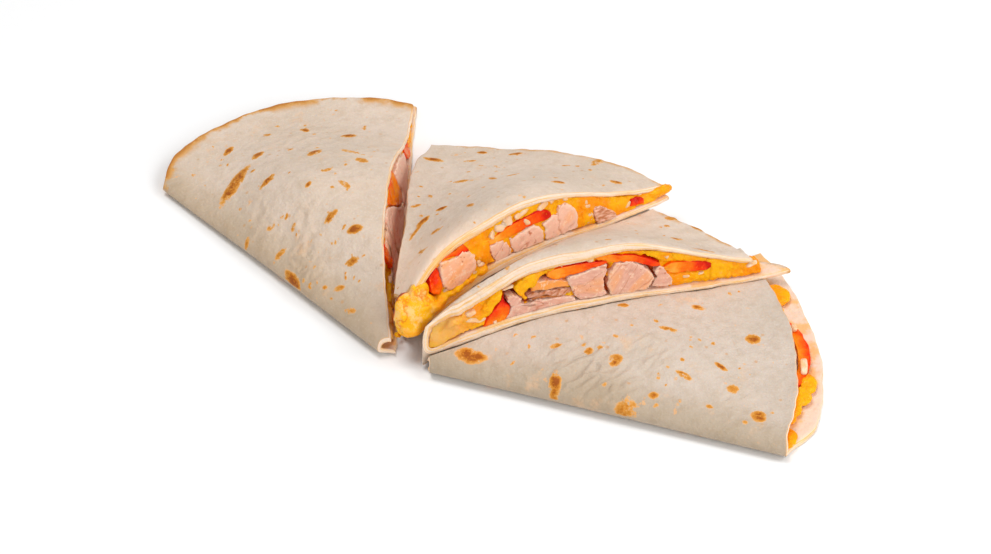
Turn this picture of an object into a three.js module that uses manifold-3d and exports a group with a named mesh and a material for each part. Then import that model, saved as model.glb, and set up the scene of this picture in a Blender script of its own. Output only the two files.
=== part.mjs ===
// A chicken quesadilla: one flour tortilla folded over its filling, toasted, and cut from the
// middle of the fold into four equal wedges. The wedges are fanned about the point of the cuts.
// Wedges 1 and 4 keep the folded edge and lie flat. Wedge 3 leans on wedge 4, and wedge 2 on wedge 3.
// Millimetres, +Z up, resting on z = 0, with the origin under the middle of the fan.
import * as THREE from "three";
import { mergeVertices } from "three/addons/utils/BufferGeometryUtils.js";
import Module from "manifold-3d";

const wasm = await Module();
wasm.setup();

const SHEET = 1.8; // thickness of the tortilla
const GAP = 0.35; // clearance between touching pieces
const SPAN = THREE.MathUtils.degToRad(45); // angle of each wedge
const FOLD_ROUND = 6.5; // how far in from the fold the sheet turns over
const POINT_ROUND = 4.5; // how far in from its point wedge 3 turns over
const TURN_AT = 0.45; // height of the turn, as a share of the thickness
const FILLED_AT = 28; // distance from the fold at which the filling has its full height
const CORNER = 0.052; // how much the rim draws in where it meets the fold
const CORNER_ANGLE = THREE.MathUtils.degToRad(5.5);
const FAN_SHIFT = [5.11, -3.67]; // moves the middle of the fan onto the origin

// apex: the wedge's point. heading: direction of its first side in degrees. rim: radius of the top
// sheet's edge at the first side, half way and at the last side. lip: how far the bottom sheet
// reaches past it. lift: height of the underside at the point, half way out and at the rim.
const wedges = {
  1: {
    apex: [-33.4, -40.6], heading: 88.3, foldAt: 1, fromFold: 135, rim: [123.9, 129.6, 115.6], lip: 2.5,
    point: 4.6, full: 22, atFold: 8, atRim: 5, lift: [0, 0, 0], lean: 15, bow: 0, push: 2.1, thinner: 0,
  },
  2: {
    apex: [-34.4, -43.8], heading: 37.8, foldAt: null, fromFold: 90, rim: [112.3, 105.8, 103.3], lip: 2,
    point: 8, full: 19, atFold: 8, atRim: 6.5, lift: [4.6, 19.4, 10], lean: 16, bow: 2.1, thinner: 0.1, bulge: 3.6,
    tuckUnder: 3.5, closes: 0.56, blunt: 9,
  },
  3: {
    apex: [-23, -43.2], heading: 18.3, foldAt: null, fromFold: 45, rim: [109.8, 97.2, 100.6], lip: 2,
    tongue: 10.5, point: 1, full: 21.2, atFold: 14, atRim: 7.2, lift: [4.8, 12, 5.9], lean: 9, bow: 0.75,
    thinner: 0.39, closes: 0.54, wrapsPoint: true, turnAt: 0.28,
  },
  4: {
    apex: [-24.5, -45.2], heading: -18.5, foldAt: 0, fromFold: 0, rim: [114.6, 116.4, 114.8], lip: 8.2,
    point: 4.6, full: 13, atFold: 8, atRim: 7, lift: [0, 0, 0], lean: 0, bow: 0, thinner: 0.06,
  },
};
wedges[4].under = wedges[3];
wedges[3].under = wedges[2];

const clamp = THREE.MathUtils.clamp;
const lerp = THREE.MathUtils.lerp;

function ease(t) {
  const c = clamp(t, 0, 1);
  return c * c * (3 - 2 * c);
}

// A quarter ellipse: 0 at the edge, 1 at `reach` and beyond.
function turnOver(distance, reach) {
  const c = 1 - clamp(distance / reach, 0, 1);
  return Math.sqrt(1 - c * c);
}

// ---- the form of a wedge, by radius r from its point and u from 0 at its first side to 1 at its last

function cornerDrawIn(w, u) {
  if (w.foldAt === null) return 1;
  const angle = Math.abs(u - w.foldAt) * SPAN;
  return 1 - CORNER * Math.exp(-((angle / CORNER_ANGLE) ** 2));
}

function rimTop(w, u) {
  const [first, middle, last] = w.rim;
  return first * (1 - u) * (1 - 2 * u) + 4 * middle * u * (1 - u) + last * u * (2 * u - 1);
}

function rimBottom(w, u) {
  const tongue = (w.tongue ?? 0) * Math.exp(-((u / 0.09) ** 2));
  return (rimTop(w, u) + w.lip + tongue) * cornerDrawIn(w, u);
}

function angleFromFold(w, u) {
  return THREE.MathUtils.degToRad(w.fromFold) + u * SPAN;
}

function thickness(w, r, u) {
  const fromFold = Math.abs(r * Math.sin(angleFromFold(w, u)));
  const filled = lerp(w.atFold, w.full, ease(fromFold / FILLED_AT)) * (1 - w.thinner * ease(1.4 * u));
  const towardsRim = ease((r / rimBottom(w, u) - 0.48) / (w.closes ?? 0.45));
  return lerp(filled, w.atRim, towardsRim);
}

function underside(w, r, u) {
  const [atPoint, middle, atRim] = w.lift;
  const outward = r < 50
    ? lerp(atPoint, middle, Math.sin((Math.PI / 2) * (r / 50)))
    : lerp(middle, atRim, (1 - Math.cos((Math.PI * Math.min(r - 50, 90)) / 70)) / 2);
  return outward * (1 - ease((u - 0.05) / 0.95));
}

// How far a wedge's first side is bowed and pushed outwards, which fades towards its last side.
function sideBow(w, r, u) {
  return w.bow * Math.sin((Math.PI * clamp(r, 0, 118)) / 118) * (1 - u) + (w.push ?? 0) * (1 - u) ** 3;
}

// How far a wedge's last side swells outwards, by the height within the wedge from 0 to 1.
function lastSideSwell(w, r, u, height) {
  const along = Math.exp(-(((r - 84) / 24) ** 2)) * (1 - ease((r - 92) / 12));
  return ((w.bulge ?? 0) * along * height - (w.tuckUnder ?? 0) * (1 - height)) * u ** 3;
}

// Height of the leaning wedge's underside over a place on the table, far above where it doesn't reach.
function coverHeight(w, x, y) {
  const dx = x - w.apex[0];
  const dy = y - w.apex[1];
  const r = Math.hypot(dx, dy);
  const bowed = (Math.atan2(dy, dx) - THREE.MathUtils.degToRad(w.heading)) / SPAN;
  const u = bowed + sideBow(w, r, clamp(bowed, 0, 1)) / (Math.max(r, 10) * SPAN);
  const edge = rimBottom(w, clamp(u, 0, 1));
  if (u < -1.5 || u > 1.2 || r > edge + 12) return Infinity;
  const outside = 1.2 * Math.max(0, -u) * r * SPAN + 0.8 * Math.max(0, r - edge);
  return underside(w, r, Math.max(u, 0)) + outside;
}

// A point `depth` inside the wedge's outer skin, on its "top" or its "bottom".
function skinPoint(w, r, u, skin, depth) {
  const heading = THREE.MathUtils.degToRad(w.heading) + u * SPAN;
  const thick = thickness(w, r, u);
  let round = 1;
  if (w.foldAt !== null) {
    const fromFold = Math.abs(r * Math.sin(angleFromFold(w, u)));
    round = turnOver(fromFold - depth, FOLD_ROUND - depth);
  }
  if (w.wrapsPoint) round = turnOver(r - w.point - depth, POINT_ROUND - depth);
  const middle = (w.turnAt ?? TURN_AT) * thick;
  const up = skin === "top" ? middle + (thick - middle - depth) * round : middle - (middle - depth) * round;
  const lean = THREE.MathUtils.degToRad(w.lean) * (1 - u);
  const back = Math.sin(lean) * up - sideBow(w, r, u) + lastSideSwell(w, r, u, clamp(up / thick, 0, 1));
  const x = w.apex[0] + r * Math.cos(heading) - back * Math.sin(heading);
  const y = w.apex[1] + r * Math.sin(heading) + back * Math.cos(heading);
  let z = underside(w, r, u) + up * Math.cos(lean);
  if (w.under) {
    const room = coverHeight(w.under, x, y) - GAP - 0.15;
    z = Math.min(z, skin === "top" ? room - depth : Math.max(room - 2 * SHEET - 3 + depth, depth));
  }
  return new THREE.Vector3(x, y, z);
}

// ---- meshes and solids

// A closed slab between two grids of points, with walls along its four borders.
function slab(rows, columns, outer, inner) {
  const positions = [];
  const indices = [];
  for (const surface of [outer, inner])
    for (let i = 0; i <= rows; i++)
      for (let j = 0; j <= columns; j++) positions.push(...surface(i / rows, j / columns));
  const layer = (rows + 1) * (columns + 1);
  const at = (side, i, j) => side * layer + i * (columns + 1) + j;
  const quad = (a, b, c, d) => indices.push(a, b, c, a, c, d);
  for (let i = 0; i < rows; i++)
    for (let j = 0; j < columns; j++) {
      quad(at(0, i, j), at(0, i + 1, j), at(0, i + 1, j + 1), at(0, i, j + 1));
      quad(at(1, i, j), at(1, i, j + 1), at(1, i + 1, j + 1), at(1, i + 1, j));
    }
  for (let i = 0; i < rows; i++) {
    quad(at(0, i, 0), at(1, i, 0), at(1, i + 1, 0), at(0, i + 1, 0));
    quad(at(0, i, columns), at(0, i + 1, columns), at(1, i + 1, columns), at(1, i, columns));
  }
  for (let j = 0; j < columns; j++) {
    quad(at(0, 0, j), at(0, 0, j + 1), at(1, 0, j + 1), at(1, 0, j));
    quad(at(0, rows, j), at(1, rows, j), at(1, rows, j + 1), at(0, rows, j + 1));
  }
  const geometry = new THREE.BufferGeometry();
  geometry.setAttribute("position", new THREE.Float32BufferAttribute(positions, 3));
  geometry.setIndex(indices);
  return geometry;
}

function solidOf(geometry) {
  const bare = geometry.clone();
  bare.deleteAttribute("normal");
  bare.deleteAttribute("uv");
  const merged = mergeVertices(bare, 2e-3);
  const p = merged.attributes.position;
  const index = merged.index.array;
  const faces = [];
  let volume = 0;
  const [a, b, c] = [new THREE.Vector3(), new THREE.Vector3(), new THREE.Vector3()];
  for (let i = 0; i < index.length; i += 3) {
    const [ia, ib, ic] = [index[i], index[i + 1], index[i + 2]];
    if (ia === ib || ib === ic || ia === ic) continue;
    faces.push(ia, ib, ic);
    volume += a.fromBufferAttribute(p, ia).dot(b.fromBufferAttribute(p, ib).cross(c.fromBufferAttribute(p, ic)));
  }
  if (volume < 0) for (let i = 0; i < faces.length; i += 3) [faces[i], faces[i + 1]] = [faces[i + 1], faces[i]];
  return new wasm.Manifold(
    new wasm.Mesh({ numProp: 3, vertProperties: new Float32Array(p.array), triVerts: new Uint32Array(faces) }),
  );
}

function geometryOf(solid) {
  const mesh = solid.getMesh();
  const points = new Float32Array(mesh.numVert * 3);
  for (let i = 0; i < mesh.numVert; i++)
    points.set(mesh.vertProperties.subarray(i * mesh.numProp, i * mesh.numProp + 3), i * 3);
  const geometry = new THREE.BufferGeometry();
  geometry.setAttribute("position", new THREE.BufferAttribute(points, 3));
  geometry.setIndex(new THREE.BufferAttribute(new Uint32Array(mesh.triVerts), 1));
  return geometry;
}

// The biggest of the bodies that a cut leaves, so that no loose scrap stays.
function mainBody(solid) {
  return solid.decompose().reduce((best, body) => (body.volume() > best.volume() ? body : best));
}

// ---- the tortilla sheets

// The share of a wedge's angle that `distance` takes up at radius r.
function shareOf(distance, r) {
  return distance / (Math.max(r, 8) * SPAN);
}

// u at a share s of the way from the fold to `past` beyond the cut side, never nearer the fold than `depth`.
function acrossFromFold(w, r, s, depth, past) {
  const start = Math.asin(Math.min(depth, 0.8 * r * Math.sin(SPAN)) / r) / SPAN;
  const share = lerp(start, 1 + shareOf(past, r), s ** 1.6);
  return w.foldAt === 0 ? share : 1 - share;
}

// Each sheet is made `grow` bigger on every side, to cut its own clearance out of the filling.
function foldedSheet(w, grow = 0) {
  const surface = (depth) => (v, j) => {
    const c = 2 * j - 1;
    const skin = c < 0 ? "bottom" : "top";
    const nearFold = 1 - ease(Math.abs(c) / 0.35);
    const edge = w.foldAt === 0 ? Math.abs(c) ** 1.6 : 1 - Math.abs(c) ** 1.6;
    const atFold = rimBottom(w, w.foldAt);
    const reach = lerp(skin === "top" ? rimTop(w, edge) : rimBottom(w, edge), atFold, nearFold ** 2);
    const r = lerp(w.point - grow, reach + grow, v);
    return skinPoint(w, r, acrossFromFold(w, r, Math.abs(c), depth, grow), skin, depth);
  };
  return slab(13, 16, surface(-grow), surface(SHEET + grow));
}

// Wedge 3: one sheet that turns over at the wedge's point.
function wrappedSheet(w, grow = 0) {
  const surface = (depth) => (u, j) => {
    const c = 2 * j - 1;
    const skin = c < 0 ? "bottom" : "top";
    const reach = skin === "top" ? rimTop(w, u) : rimBottom(w, u);
    const r = lerp(w.point + depth, reach + grow, Math.abs(c) ** 1.6);
    return skinPoint(w, r, u + (2 * u - 1) * shareOf(grow, r), skin, depth);
  };
  return slab(11, 24, surface(-grow), surface(SHEET + grow));
}

// Where an open wedge's sheet starts: its underside is blunter towards the last side.
function startOf(w, skin, u) {
  return w.point + (w.blunt ?? 0) * u * (skin === "top" ? 0.3 : 1);
}

function openSheet(w, skin, grow = 0) {
  const surface = (depth) => (v, u) => {
    const reach = skin === "top" ? rimTop(w, u) : rimBottom(w, u);
    const r = lerp(startOf(w, skin, u) - grow, reach + grow, v);
    return skinPoint(w, r, u + (2 * u - 1) * shareOf(grow, r), skin, depth);
  };
  return slab(13, 8, surface(-grow), surface(SHEET + grow));
}

function sheetsOf(key, grow = 0) {
  const w = wedges[key];
  if (w.foldAt !== null) return [solidOf(foldedSheet(w, grow))];
  if (w.wrapsPoint) return [solidOf(wrappedSheet(w, grow))];
  return [solidOf(openSheet(w, "top", grow)), solidOf(openSheet(w, "bottom", grow))];
}

// ---- the filling

// The room between the sheets, `depth` inside the wedge's outer skin. `past` widens it beyond the cut
// sides and the rim.
function fillingRoom(w, depth, past = 0) {
  const clear = w.wrapsPoint ? depth : 0.3;
  const surface = (skin) => (v, s) => {
    const open = (r) => s + (2 * s - 1) * shareOf(past, r);
    const edge = w.foldAt === null ? s : Math.abs(w.foldAt - s ** 1.6);
    const start = w.foldAt === null ? startOf(w, skin, s) + clear : w.point + 4;
    const r = lerp(start, Math.min(rimTop(w, edge), rimBottom(w, edge)) - 1.5 + past, v);
    return skinPoint(w, r, w.foldAt === null ? open(r) : acrossFromFold(w, r, s, depth, past), skin, depth);
  };
  return solidOf(slab(11, 8, surface("top"), surface("bottom")));
}

// A place on or behind a wedge's cut side: `along` from the point, `up` from the underside,
// `out` through the cut side, and `turn` about the line of sight onto the side.
function onSide(w, side, along, up, out, turn = 0) {
  const heading = THREE.MathUtils.degToRad(w.heading) + side * SPAN;
  const lean = THREE.MathUtils.degToRad(w.lean) * (1 - side);
  const sign = side === 0 ? 1 : -1;
  const outward = new THREE.Vector3(Math.sin(heading), -Math.cos(heading), 0).multiplyScalar(sign);
  const forward = new THREE.Vector3(Math.cos(heading), Math.sin(heading), 0);
  const upward = new THREE.Vector3(0, 0, Math.cos(lean)).addScaledVector(outward, -sign * Math.sin(lean));
  const foot = skinPoint(w, along, side, "bottom", 0);
  const matrix = new THREE.Matrix4().makeBasis(forward, upward, outward);
  matrix.multiply(new THREE.Matrix4().makeRotationZ(THREE.MathUtils.degToRad(turn)));
  matrix.setPosition(foot.addScaledVector(upward, up).addScaledVector(outward, out));
  return matrix;
}

function seeded(seed) {
  let state = seed * 2654435761;
  return () => {
    state = (Math.imul(state ^ (state >>> 15), 2246822519) + 374761393) >>> 0;
    return state / 4294967296 - 0.5;
  };
}

// A torn or diced lump: a box with soft corners and uneven faces. `grow` swells it on every side.
function lump([long, high, deep], seed, grow = 0, softness = 0.45, uneven = 0.1) {
  const draw = seeded(seed);
  const geometry = mergeVertices(stripped(new THREE.BoxGeometry(1, 1, 1, 2, 2, 2)));
  const p = geometry.attributes.position;
  const v = new THREE.Vector3();
  for (let i = 0; i < p.count; i++) {
    v.fromBufferAttribute(p, i);
    const round = v.clone().normalize().multiplyScalar(0.56);
    v.lerp(round, softness);
    v.multiplyScalar(1 + 2 * uneven * draw());
    v.multiply(new THREE.Vector3(long + 2 * grow, high + 2 * grow, deep + 2 * grow));
    p.setXYZ(i, v.x, v.y, v.z);
  }
  return geometry;
}

// A bit of onion.
function grain([long, high, deep]) {
  return mergeVertices(stripped(new THREE.IcosahedronGeometry(0.5, 0))).scale(long, high, deep);
}

// A strip of pepper: a bar along x, bent upwards by `rise` in the middle and narrower at its ends.
function strip([long, high, deep], rise, seed, grow = 0) {
  const draw = seeded(seed);
  const geometry = mergeVertices(stripped(new THREE.BoxGeometry(1, 1, 1, 5, 1, 1)));
  const p = geometry.attributes.position;
  for (let i = 0; i < p.count; i++) {
    const t = 2 * p.getX(i);
    const slim = 1 - 0.35 * t ** 4 + 0.12 * draw();
    p.setXYZ(
      i,
      (t / 2) * (long + 2 * grow),
      p.getY(i) * (high * slim + 2 * grow) + rise * (1 - t * t),
      p.getZ(i) * (deep * slim + 2 * grow),
    );
  }
  return geometry;
}

function stripped(geometry) {
  geometry.deleteAttribute("normal");
  geometry.deleteAttribute("uv");
  return geometry;
}

// side: 0 is the wedge's first cut side and 1 its last. size: along the side, up and inwards.
// out: how far the piece's middle lies outside the cut side, so a piece that is let in has less.
const chicken = [
  { name: "chicken_2a", wedge: 2, side: 0, along: 29.5, up: 8.9, out: -3.6, size: [12.6, 9.6, 10], turn: 8 },
  { name: "chicken_2b", wedge: 2, side: 0, along: 44.5, up: 6, out: -3.4, size: [6.6, 6.4, 8], turn: 0 },
  { name: "chicken_2c", wedge: 2, side: 0, along: 54.6, up: 5.9, out: -3.6, size: [11.4, 6.4, 9], turn: 3 },
  { name: "chicken_2d", wedge: 2, side: 0, along: 68, up: 6.4, out: -3.6, size: [12.4, 7.2, 9], turn: 2 },
  { name: "chicken_2e", wedge: 2, side: 0, along: 86, up: 4.6, out: -2.6, size: [8.6, 4.8, 7], turn: -4 },
  { name: "chicken_3a", wedge: 3, side: 0, along: 36.9, up: 5.2, out: -3.4, size: [15.6, 5, 8], turn: 0 },
  { name: "chicken_3b", wedge: 3, side: 0, along: 39.8, up: 10.2, out: -3, size: [11.6, 3.2, 8], turn: 3 },
  { name: "chicken_3c", wedge: 3, side: 0, along: 54.5, up: 8.4, out: -3.2, size: [12.2, 9.6, 10], turn: 5 },
  { name: "chicken_3d", wedge: 3, side: 0, along: 68.5, up: 8, out: -3.2, size: [13.6, 9, 10], turn: -3 },
  { name: "chicken_3e", wedge: 3, side: 0, along: 80.7, up: 7, out: -2.8, size: [7, 5, 7], turn: -12 },
  { name: "chicken_1a", wedge: 1, side: 0, along: 88.4, up: 6.2, out: -3, size: [13, 5.4, 8], turn: 0 },
  { name: "chicken_1b", wedge: 1, side: 0, along: 60.4, up: 8.6, out: -3, size: [10, 9, 9], turn: 6 },
  { name: "chicken_1c", wedge: 1, side: 0, along: 46.4, up: 8.2, out: -3, size: [10.6, 8, 9], turn: -8 },
  { name: "chicken_2f", wedge: 2, side: 1, along: 38, up: 8, out: -1.9, size: [12, 8.4, 9], turn: 5 },
  { name: "chicken_2g", wedge: 2, side: 1, along: 66, up: 7, out: -1.9, size: [13, 7, 9], turn: -4 },
  { name: "chicken_3f", wedge: 3, side: 1, along: 34, up: 5.8, out: -3.6, size: [11, 5, 8], turn: 4 },
  { name: "chicken_3g", wedge: 3, side: 1, along: 66, up: 5.4, out: -3.6, size: [12, 4.6, 8], turn: -3 },
  { name: "chicken_4a", wedge: 4, side: 1, along: 38, up: 5.2, out: -3.4, size: [12, 4.2, 8], turn: 2 },
  { name: "chicken_4b", wedge: 4, side: 1, along: 66, up: 4.8, out: -3.4, size: [11, 3.6, 8], turn: -3 },
];

const pepper = [
  { name: "pepper_2a", wedge: 2, side: 0, along: 20, up: 9.6, out: -2.6, size: [4, 9, 7], turn: -12, rise: 0 },
  { name: "pepper_2b", wedge: 2, side: 0, along: 31, up: 15.4, out: -2.4, size: [10, 2.4, 7], turn: 2, rise: 0.2 },
  { name: "pepper_2c", wedge: 2, side: 0, along: 53.5, up: 10.9, out: -2.2, size: [20, 2.3, 6], turn: 7, rise: 0.5 },
  { name: "pepper_2d", wedge: 2, side: 0, along: 100, up: 4.6, out: -2, size: [4.4, 2.4, 5], turn: 0, rise: 0 },
  { name: "pepper_3a", wedge: 3, side: 0, along: 24.9, up: 6.6, out: -2.4, size: [7, 3.8, 6], turn: 40, rise: 0 },
  { name: "pepper_3b", wedge: 3, side: 0, along: 42.3, up: 13.6, out: -2.4, size: [10, 2, 6], turn: 6, rise: 0.2 },
  { name: "pepper_3c", wedge: 3, side: 0, along: 51.3, up: 16.3, out: -2.4, size: [15, 2.2, 6], turn: 6, rise: 0.2 },
  { name: "pepper_3d", wedge: 3, side: 0, along: 68.3, up: 14.2, out: -2.2, size: [17, 2, 6], turn: -7, rise: 0.9 },
  { name: "pepper_3e", wedge: 3, side: 0, along: 88.8, up: 7.9, out: -2.2, size: [12.6, 2.6, 6], turn: -8, rise: 0.4 },
  { name: "pepper_1a", wedge: 1, side: 0, along: 101.4, up: 5, out: -2, size: [8.6, 2.6, 6], turn: 10, rise: 0.3 },
  { name: "pepper_1b", wedge: 1, side: 0, along: 74.4, up: 9.4, out: -2, size: [12, 4, 6], turn: -14, rise: 0.5 },
  { name: "pepper_1c", wedge: 1, side: 0, along: 36.4, up: 8.6, out: -2, size: [6, 4.4, 6], turn: 12, rise: 0 },
  { name: "pepper_2e", wedge: 2, side: 1, along: 52, up: 9, out: -0.9, size: [11, 3, 6], turn: 8, rise: 0.5 },
  { name: "pepper_2f", wedge: 2, side: 1, along: 82, up: 5, out: -0.9, size: [11, 2.4, 6], turn: -5, rise: 0.4 },
  { name: "pepper_3f", wedge: 3, side: 1, along: 50, up: 6, out: -2.6, size: [12, 2.6, 6], turn: 5, rise: 0.4 },
  { name: "pepper_4a", wedge: 4, side: 1, along: 52, up: 5.4, out: -2.4, size: [11, 2.4, 6], turn: 3, rise: 0.3 },
];

// Small lumps that are one with the cheese: melted blobs, drips and leaves of cheese, and onion bits.
const cheeseLumps = [
  { wedge: 2, side: 0, along: 14, up: 5.6, out: -1.2, size: [9, 12.6, 7], turn: 0 },
  { wedge: 2, side: 0, along: 15, up: 1.2, out: 0.4, size: [7, 6, 5], turn: 0 },
  { wedge: 2, side: 0, along: 17.6, up: 12, out: -0.8, size: [3.8, 5, 4], turn: 0 },
  { wedge: 2, side: 0, along: 38.8, up: 9, out: -0.2, size: [4.4, 8, 4], turn: -14 },
  { wedge: 2, side: 0, along: 37.6, up: 3.9, out: 0, size: [3.8, 3, 4], turn: 0 },
  { wedge: 2, side: 0, along: 110, up: 3.8, out: -1.6, size: [7, 4.6, 5], turn: 0 },
  { wedge: 3, side: 0, along: 22.9, up: 11, out: -0.2, size: [6.4, 4, 4], turn: 50 },
  { wedge: 3, side: 0, along: 31.9, up: 14, out: -0.2, size: [7, 4, 4], turn: 42 },
];
const onionBits = [
  { wedge: 2, side: 0, along: 45.6, up: 14.2, out: -0.3, size: [4, 2.2, 3], turn: 24 },
  { wedge: 2, side: 0, along: 50, up: 14.6, out: -0.3, size: [3.2, 2.6, 3], turn: 50 },
  { wedge: 2, side: 0, along: 55.4, up: 15.4, out: -0.3, size: [4.4, 2.4, 3], turn: 30 },
  { wedge: 2, side: 0, along: 66, up: 14.2, out: -0.3, size: [7, 2, 3], turn: 8 },
  { wedge: 2, side: 0, along: 79, up: 8.4, out: -0.3, size: [4, 2.2, 3], turn: -10 },
  { wedge: 3, side: 0, along: 60.5, up: 17.2, out: -0.9, size: [3, 2, 3], turn: 0 },
  { wedge: 3, side: 0, along: 90.3, up: 4, out: -0.4, size: [4, 2, 3], turn: 10 },
  { wedge: 1, side: 0, along: 68.4, up: 14.4, out: -0.3, size: [4, 2.4, 3], turn: 20 },
];

// Lumps of cheese in the open rim of wedge 4: u and radius, height of the middle, size out, along and up.
const rimLumps = [
  { u: 0.72, radius: 116.7, up: 3.9, size: [6, 9, 2.8] },
  { u: 0.3, radius: 116.5, up: 3.8, size: [7, 9, 2.8] },
  { u: 0.19, radius: 114.9, up: 3.7, size: [6, 5, 2.6] },
  { u: 0.1, radius: 114.3, up: 3.6, size: [6, 5, 2.4] },
];

// The slice of pepper in the open rim of wedge 4.
const RING_RADIUS = 25;
const RING_WIDE = 3.4;
const RING_HIGH = 2.2;
const RING_ARC = THREE.MathUtils.degToRad(74);

function pepperRing(grow = 0) {
  const surface = (inside) => (i, j) => {
    const angle = (i - 0.5) * RING_ARC;
    const taper = 1 - 0.75 * Math.abs(2 * i - 1) ** 3;
    const half = (RING_WIDE / 2) * taper + grow;
    const r = RING_RADIUS + (inside ? -half : half);
    const z = (j - 0.5) * (RING_HIGH * taper + 2 * grow);
    return [r * Math.cos(angle), (r + (grow / 2) * Math.abs(2 * i - 1)) * Math.sin(angle), z];
  };
  return slab(8, 1, surface(false), surface(true));
}

function atRim(w, u, r, up) {
  const heading = THREE.MathUtils.degToRad(w.heading) + u * SPAN;
  const matrix = new THREE.Matrix4().makeRotationZ(heading);
  const x = w.apex[0] + r * Math.cos(heading);
  const y = w.apex[1] + r * Math.sin(heading);
  return matrix.setPosition(x, y, up);
}

// ---- assembly

const colours = {
  tortilla: { color: 0xe4d3c0, roughness: 0.75 },
  cheese: { color: 0xf0a818, roughness: 0.35 },
  chicken: { color: 0xe8b8a0, roughness: 0.55 },
  pepper: { color: 0xf04808, roughness: 0.3 },
};
const materials = {};
for (const [kind, look] of Object.entries(colours))
  materials[kind] = new THREE.MeshStandardMaterial({ ...look, metalness: 0 });

const quesadilla = new THREE.Group();
const fan = new THREE.Group();
fan.position.set(FAN_SHIFT[0], FAN_SHIFT[1], 0);
quesadilla.add(fan);

function addPiece(name, kind, solid) {
  const mesh = new THREE.Mesh(geometryOf(solid), materials[kind]);
  mesh.name = name;
  fan.add(mesh);
}

function less(solid, cutters) {
  return cutters.reduce((rest, cutter) => rest.subtract(cutter), solid);
}

const [sheet1] = sheetsOf(1);
const [sheet2Top, sheet2Bottom] = sheetsOf(2);
const [sheet3] = sheetsOf(3);
const [sheet4] = sheetsOf(4);
const cleared = { 1: sheetsOf(1, GAP), 2: sheetsOf(2, GAP), 3: sheetsOf(3, GAP), 4: sheetsOf(4, GAP) };
const leaning = { 2: sheetsOf(2, 2 * GAP), 3: sheetsOf(3, 2 * GAP) };
addPiece("tortilla_1", "tortilla", sheet1);
addPiece("tortilla_2_top", "tortilla", sheet2Top);
addPiece("tortilla_2_bottom", "tortilla", sheet2Bottom);
addPiece("tortilla_3", "tortilla", mainBody(less(sheet3, leaning[2])));
addPiece("tortilla_4", "tortilla", mainBody(less(sheet4, leaning[3])));

const cheese = {};
const room = {};
const taken = { 1: [], 2: [], 3: [], 4: [] };
for (const key of [1, 2, 3, 4]) {
  cheese[key] = fillingRoom(wedges[key], SHEET + 2 * GAP);
  room[key] = less(fillingRoom(wedges[key], SHEET + GAP, 6), cleared[key]);
}

cheeseLumps.forEach((bit, i) => {
  const place = onSide(wedges[bit.wedge], bit.side, bit.along, bit.up, bit.out, bit.turn);
  cheese[bit.wedge] = cheese[bit.wedge].add(solidOf(lump(bit.size, 40 + i, 0, 0.6, 0.08).applyMatrix4(place)));
});
onionBits.forEach((bit) => {
  const place = onSide(wedges[bit.wedge], bit.side, bit.along, bit.up, bit.out, bit.turn);
  cheese[bit.wedge] = cheese[bit.wedge].add(solidOf(grain(bit.size).applyMatrix4(place)));
});
rimLumps.forEach((bit, i) => {
  const place = atRim(wedges[4], bit.u, bit.radius, bit.up);
  cheese[4] = cheese[4].add(solidOf(lump(bit.size, 70 + i, 0, 0.6, 0.08).applyMatrix4(place)));
});

// Adds a piece that gives way to the sheets and to the pieces before it.
function fitPiece(name, kind, key, shape) {
  addPiece(name, kind, mainBody(less(solidOf(shape(0)).intersect(room[key]), taken[key])));
  taken[key].push(solidOf(shape(GAP)));
}
pepper.forEach((piece, i) => {
  const place = onSide(wedges[piece.wedge], piece.side, piece.along, piece.up, piece.out, piece.turn);
  const shape = (grow) => strip(piece.size, piece.rise, 21 + i, grow).applyMatrix4(place);
  fitPiece(piece.name, "pepper", piece.wedge, shape);
});
chicken.forEach((piece, i) => {
  const place = onSide(wedges[piece.wedge], piece.side, piece.along, piece.up, piece.out, piece.turn);
  fitPiece(piece.name, "chicken", piece.wedge, (grow) => lump(piece.size, 1 + i, grow).applyMatrix4(place));
});
const ringPlace = atRim(wedges[4], 0.477, 94.6, SHEET + GAP + RING_HIGH / 2);
fitPiece("pepper_4b", "pepper", 4, (grow) => pepperRing(grow).applyMatrix4(ringPlace));

for (const key of [1, 2, 3, 4]) {
  const cutters = [...cleared[key], ...taken[key]];
  addPiece(`cheese_${key}`, "cheese", mainBody(less(cheese[key], cutters)).simplify(0.03));
}

export default quesadilla;
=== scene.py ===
# A chicken quesadilla: one toasted flour tortilla folded over chicken, pepper, onion and melted cheese,
# cut from the middle of its fold into four wedges that lie fanned, two flat and two leaning.
import math
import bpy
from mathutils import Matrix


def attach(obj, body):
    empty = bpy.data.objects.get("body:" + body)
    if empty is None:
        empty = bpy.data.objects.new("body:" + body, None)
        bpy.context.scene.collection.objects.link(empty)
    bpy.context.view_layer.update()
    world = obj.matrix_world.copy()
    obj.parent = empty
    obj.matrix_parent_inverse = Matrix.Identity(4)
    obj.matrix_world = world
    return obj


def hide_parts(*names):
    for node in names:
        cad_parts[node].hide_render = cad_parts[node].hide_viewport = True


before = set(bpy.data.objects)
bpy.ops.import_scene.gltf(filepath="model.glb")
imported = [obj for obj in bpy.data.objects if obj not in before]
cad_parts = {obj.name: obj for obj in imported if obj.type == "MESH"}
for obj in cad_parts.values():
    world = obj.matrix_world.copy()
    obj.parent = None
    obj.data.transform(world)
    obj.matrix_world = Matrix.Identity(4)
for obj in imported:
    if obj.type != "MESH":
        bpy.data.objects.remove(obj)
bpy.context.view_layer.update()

from types import SimpleNamespace

import bmesh
import bpy
import numpy as np
from mathutils import Matrix, Vector

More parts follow.
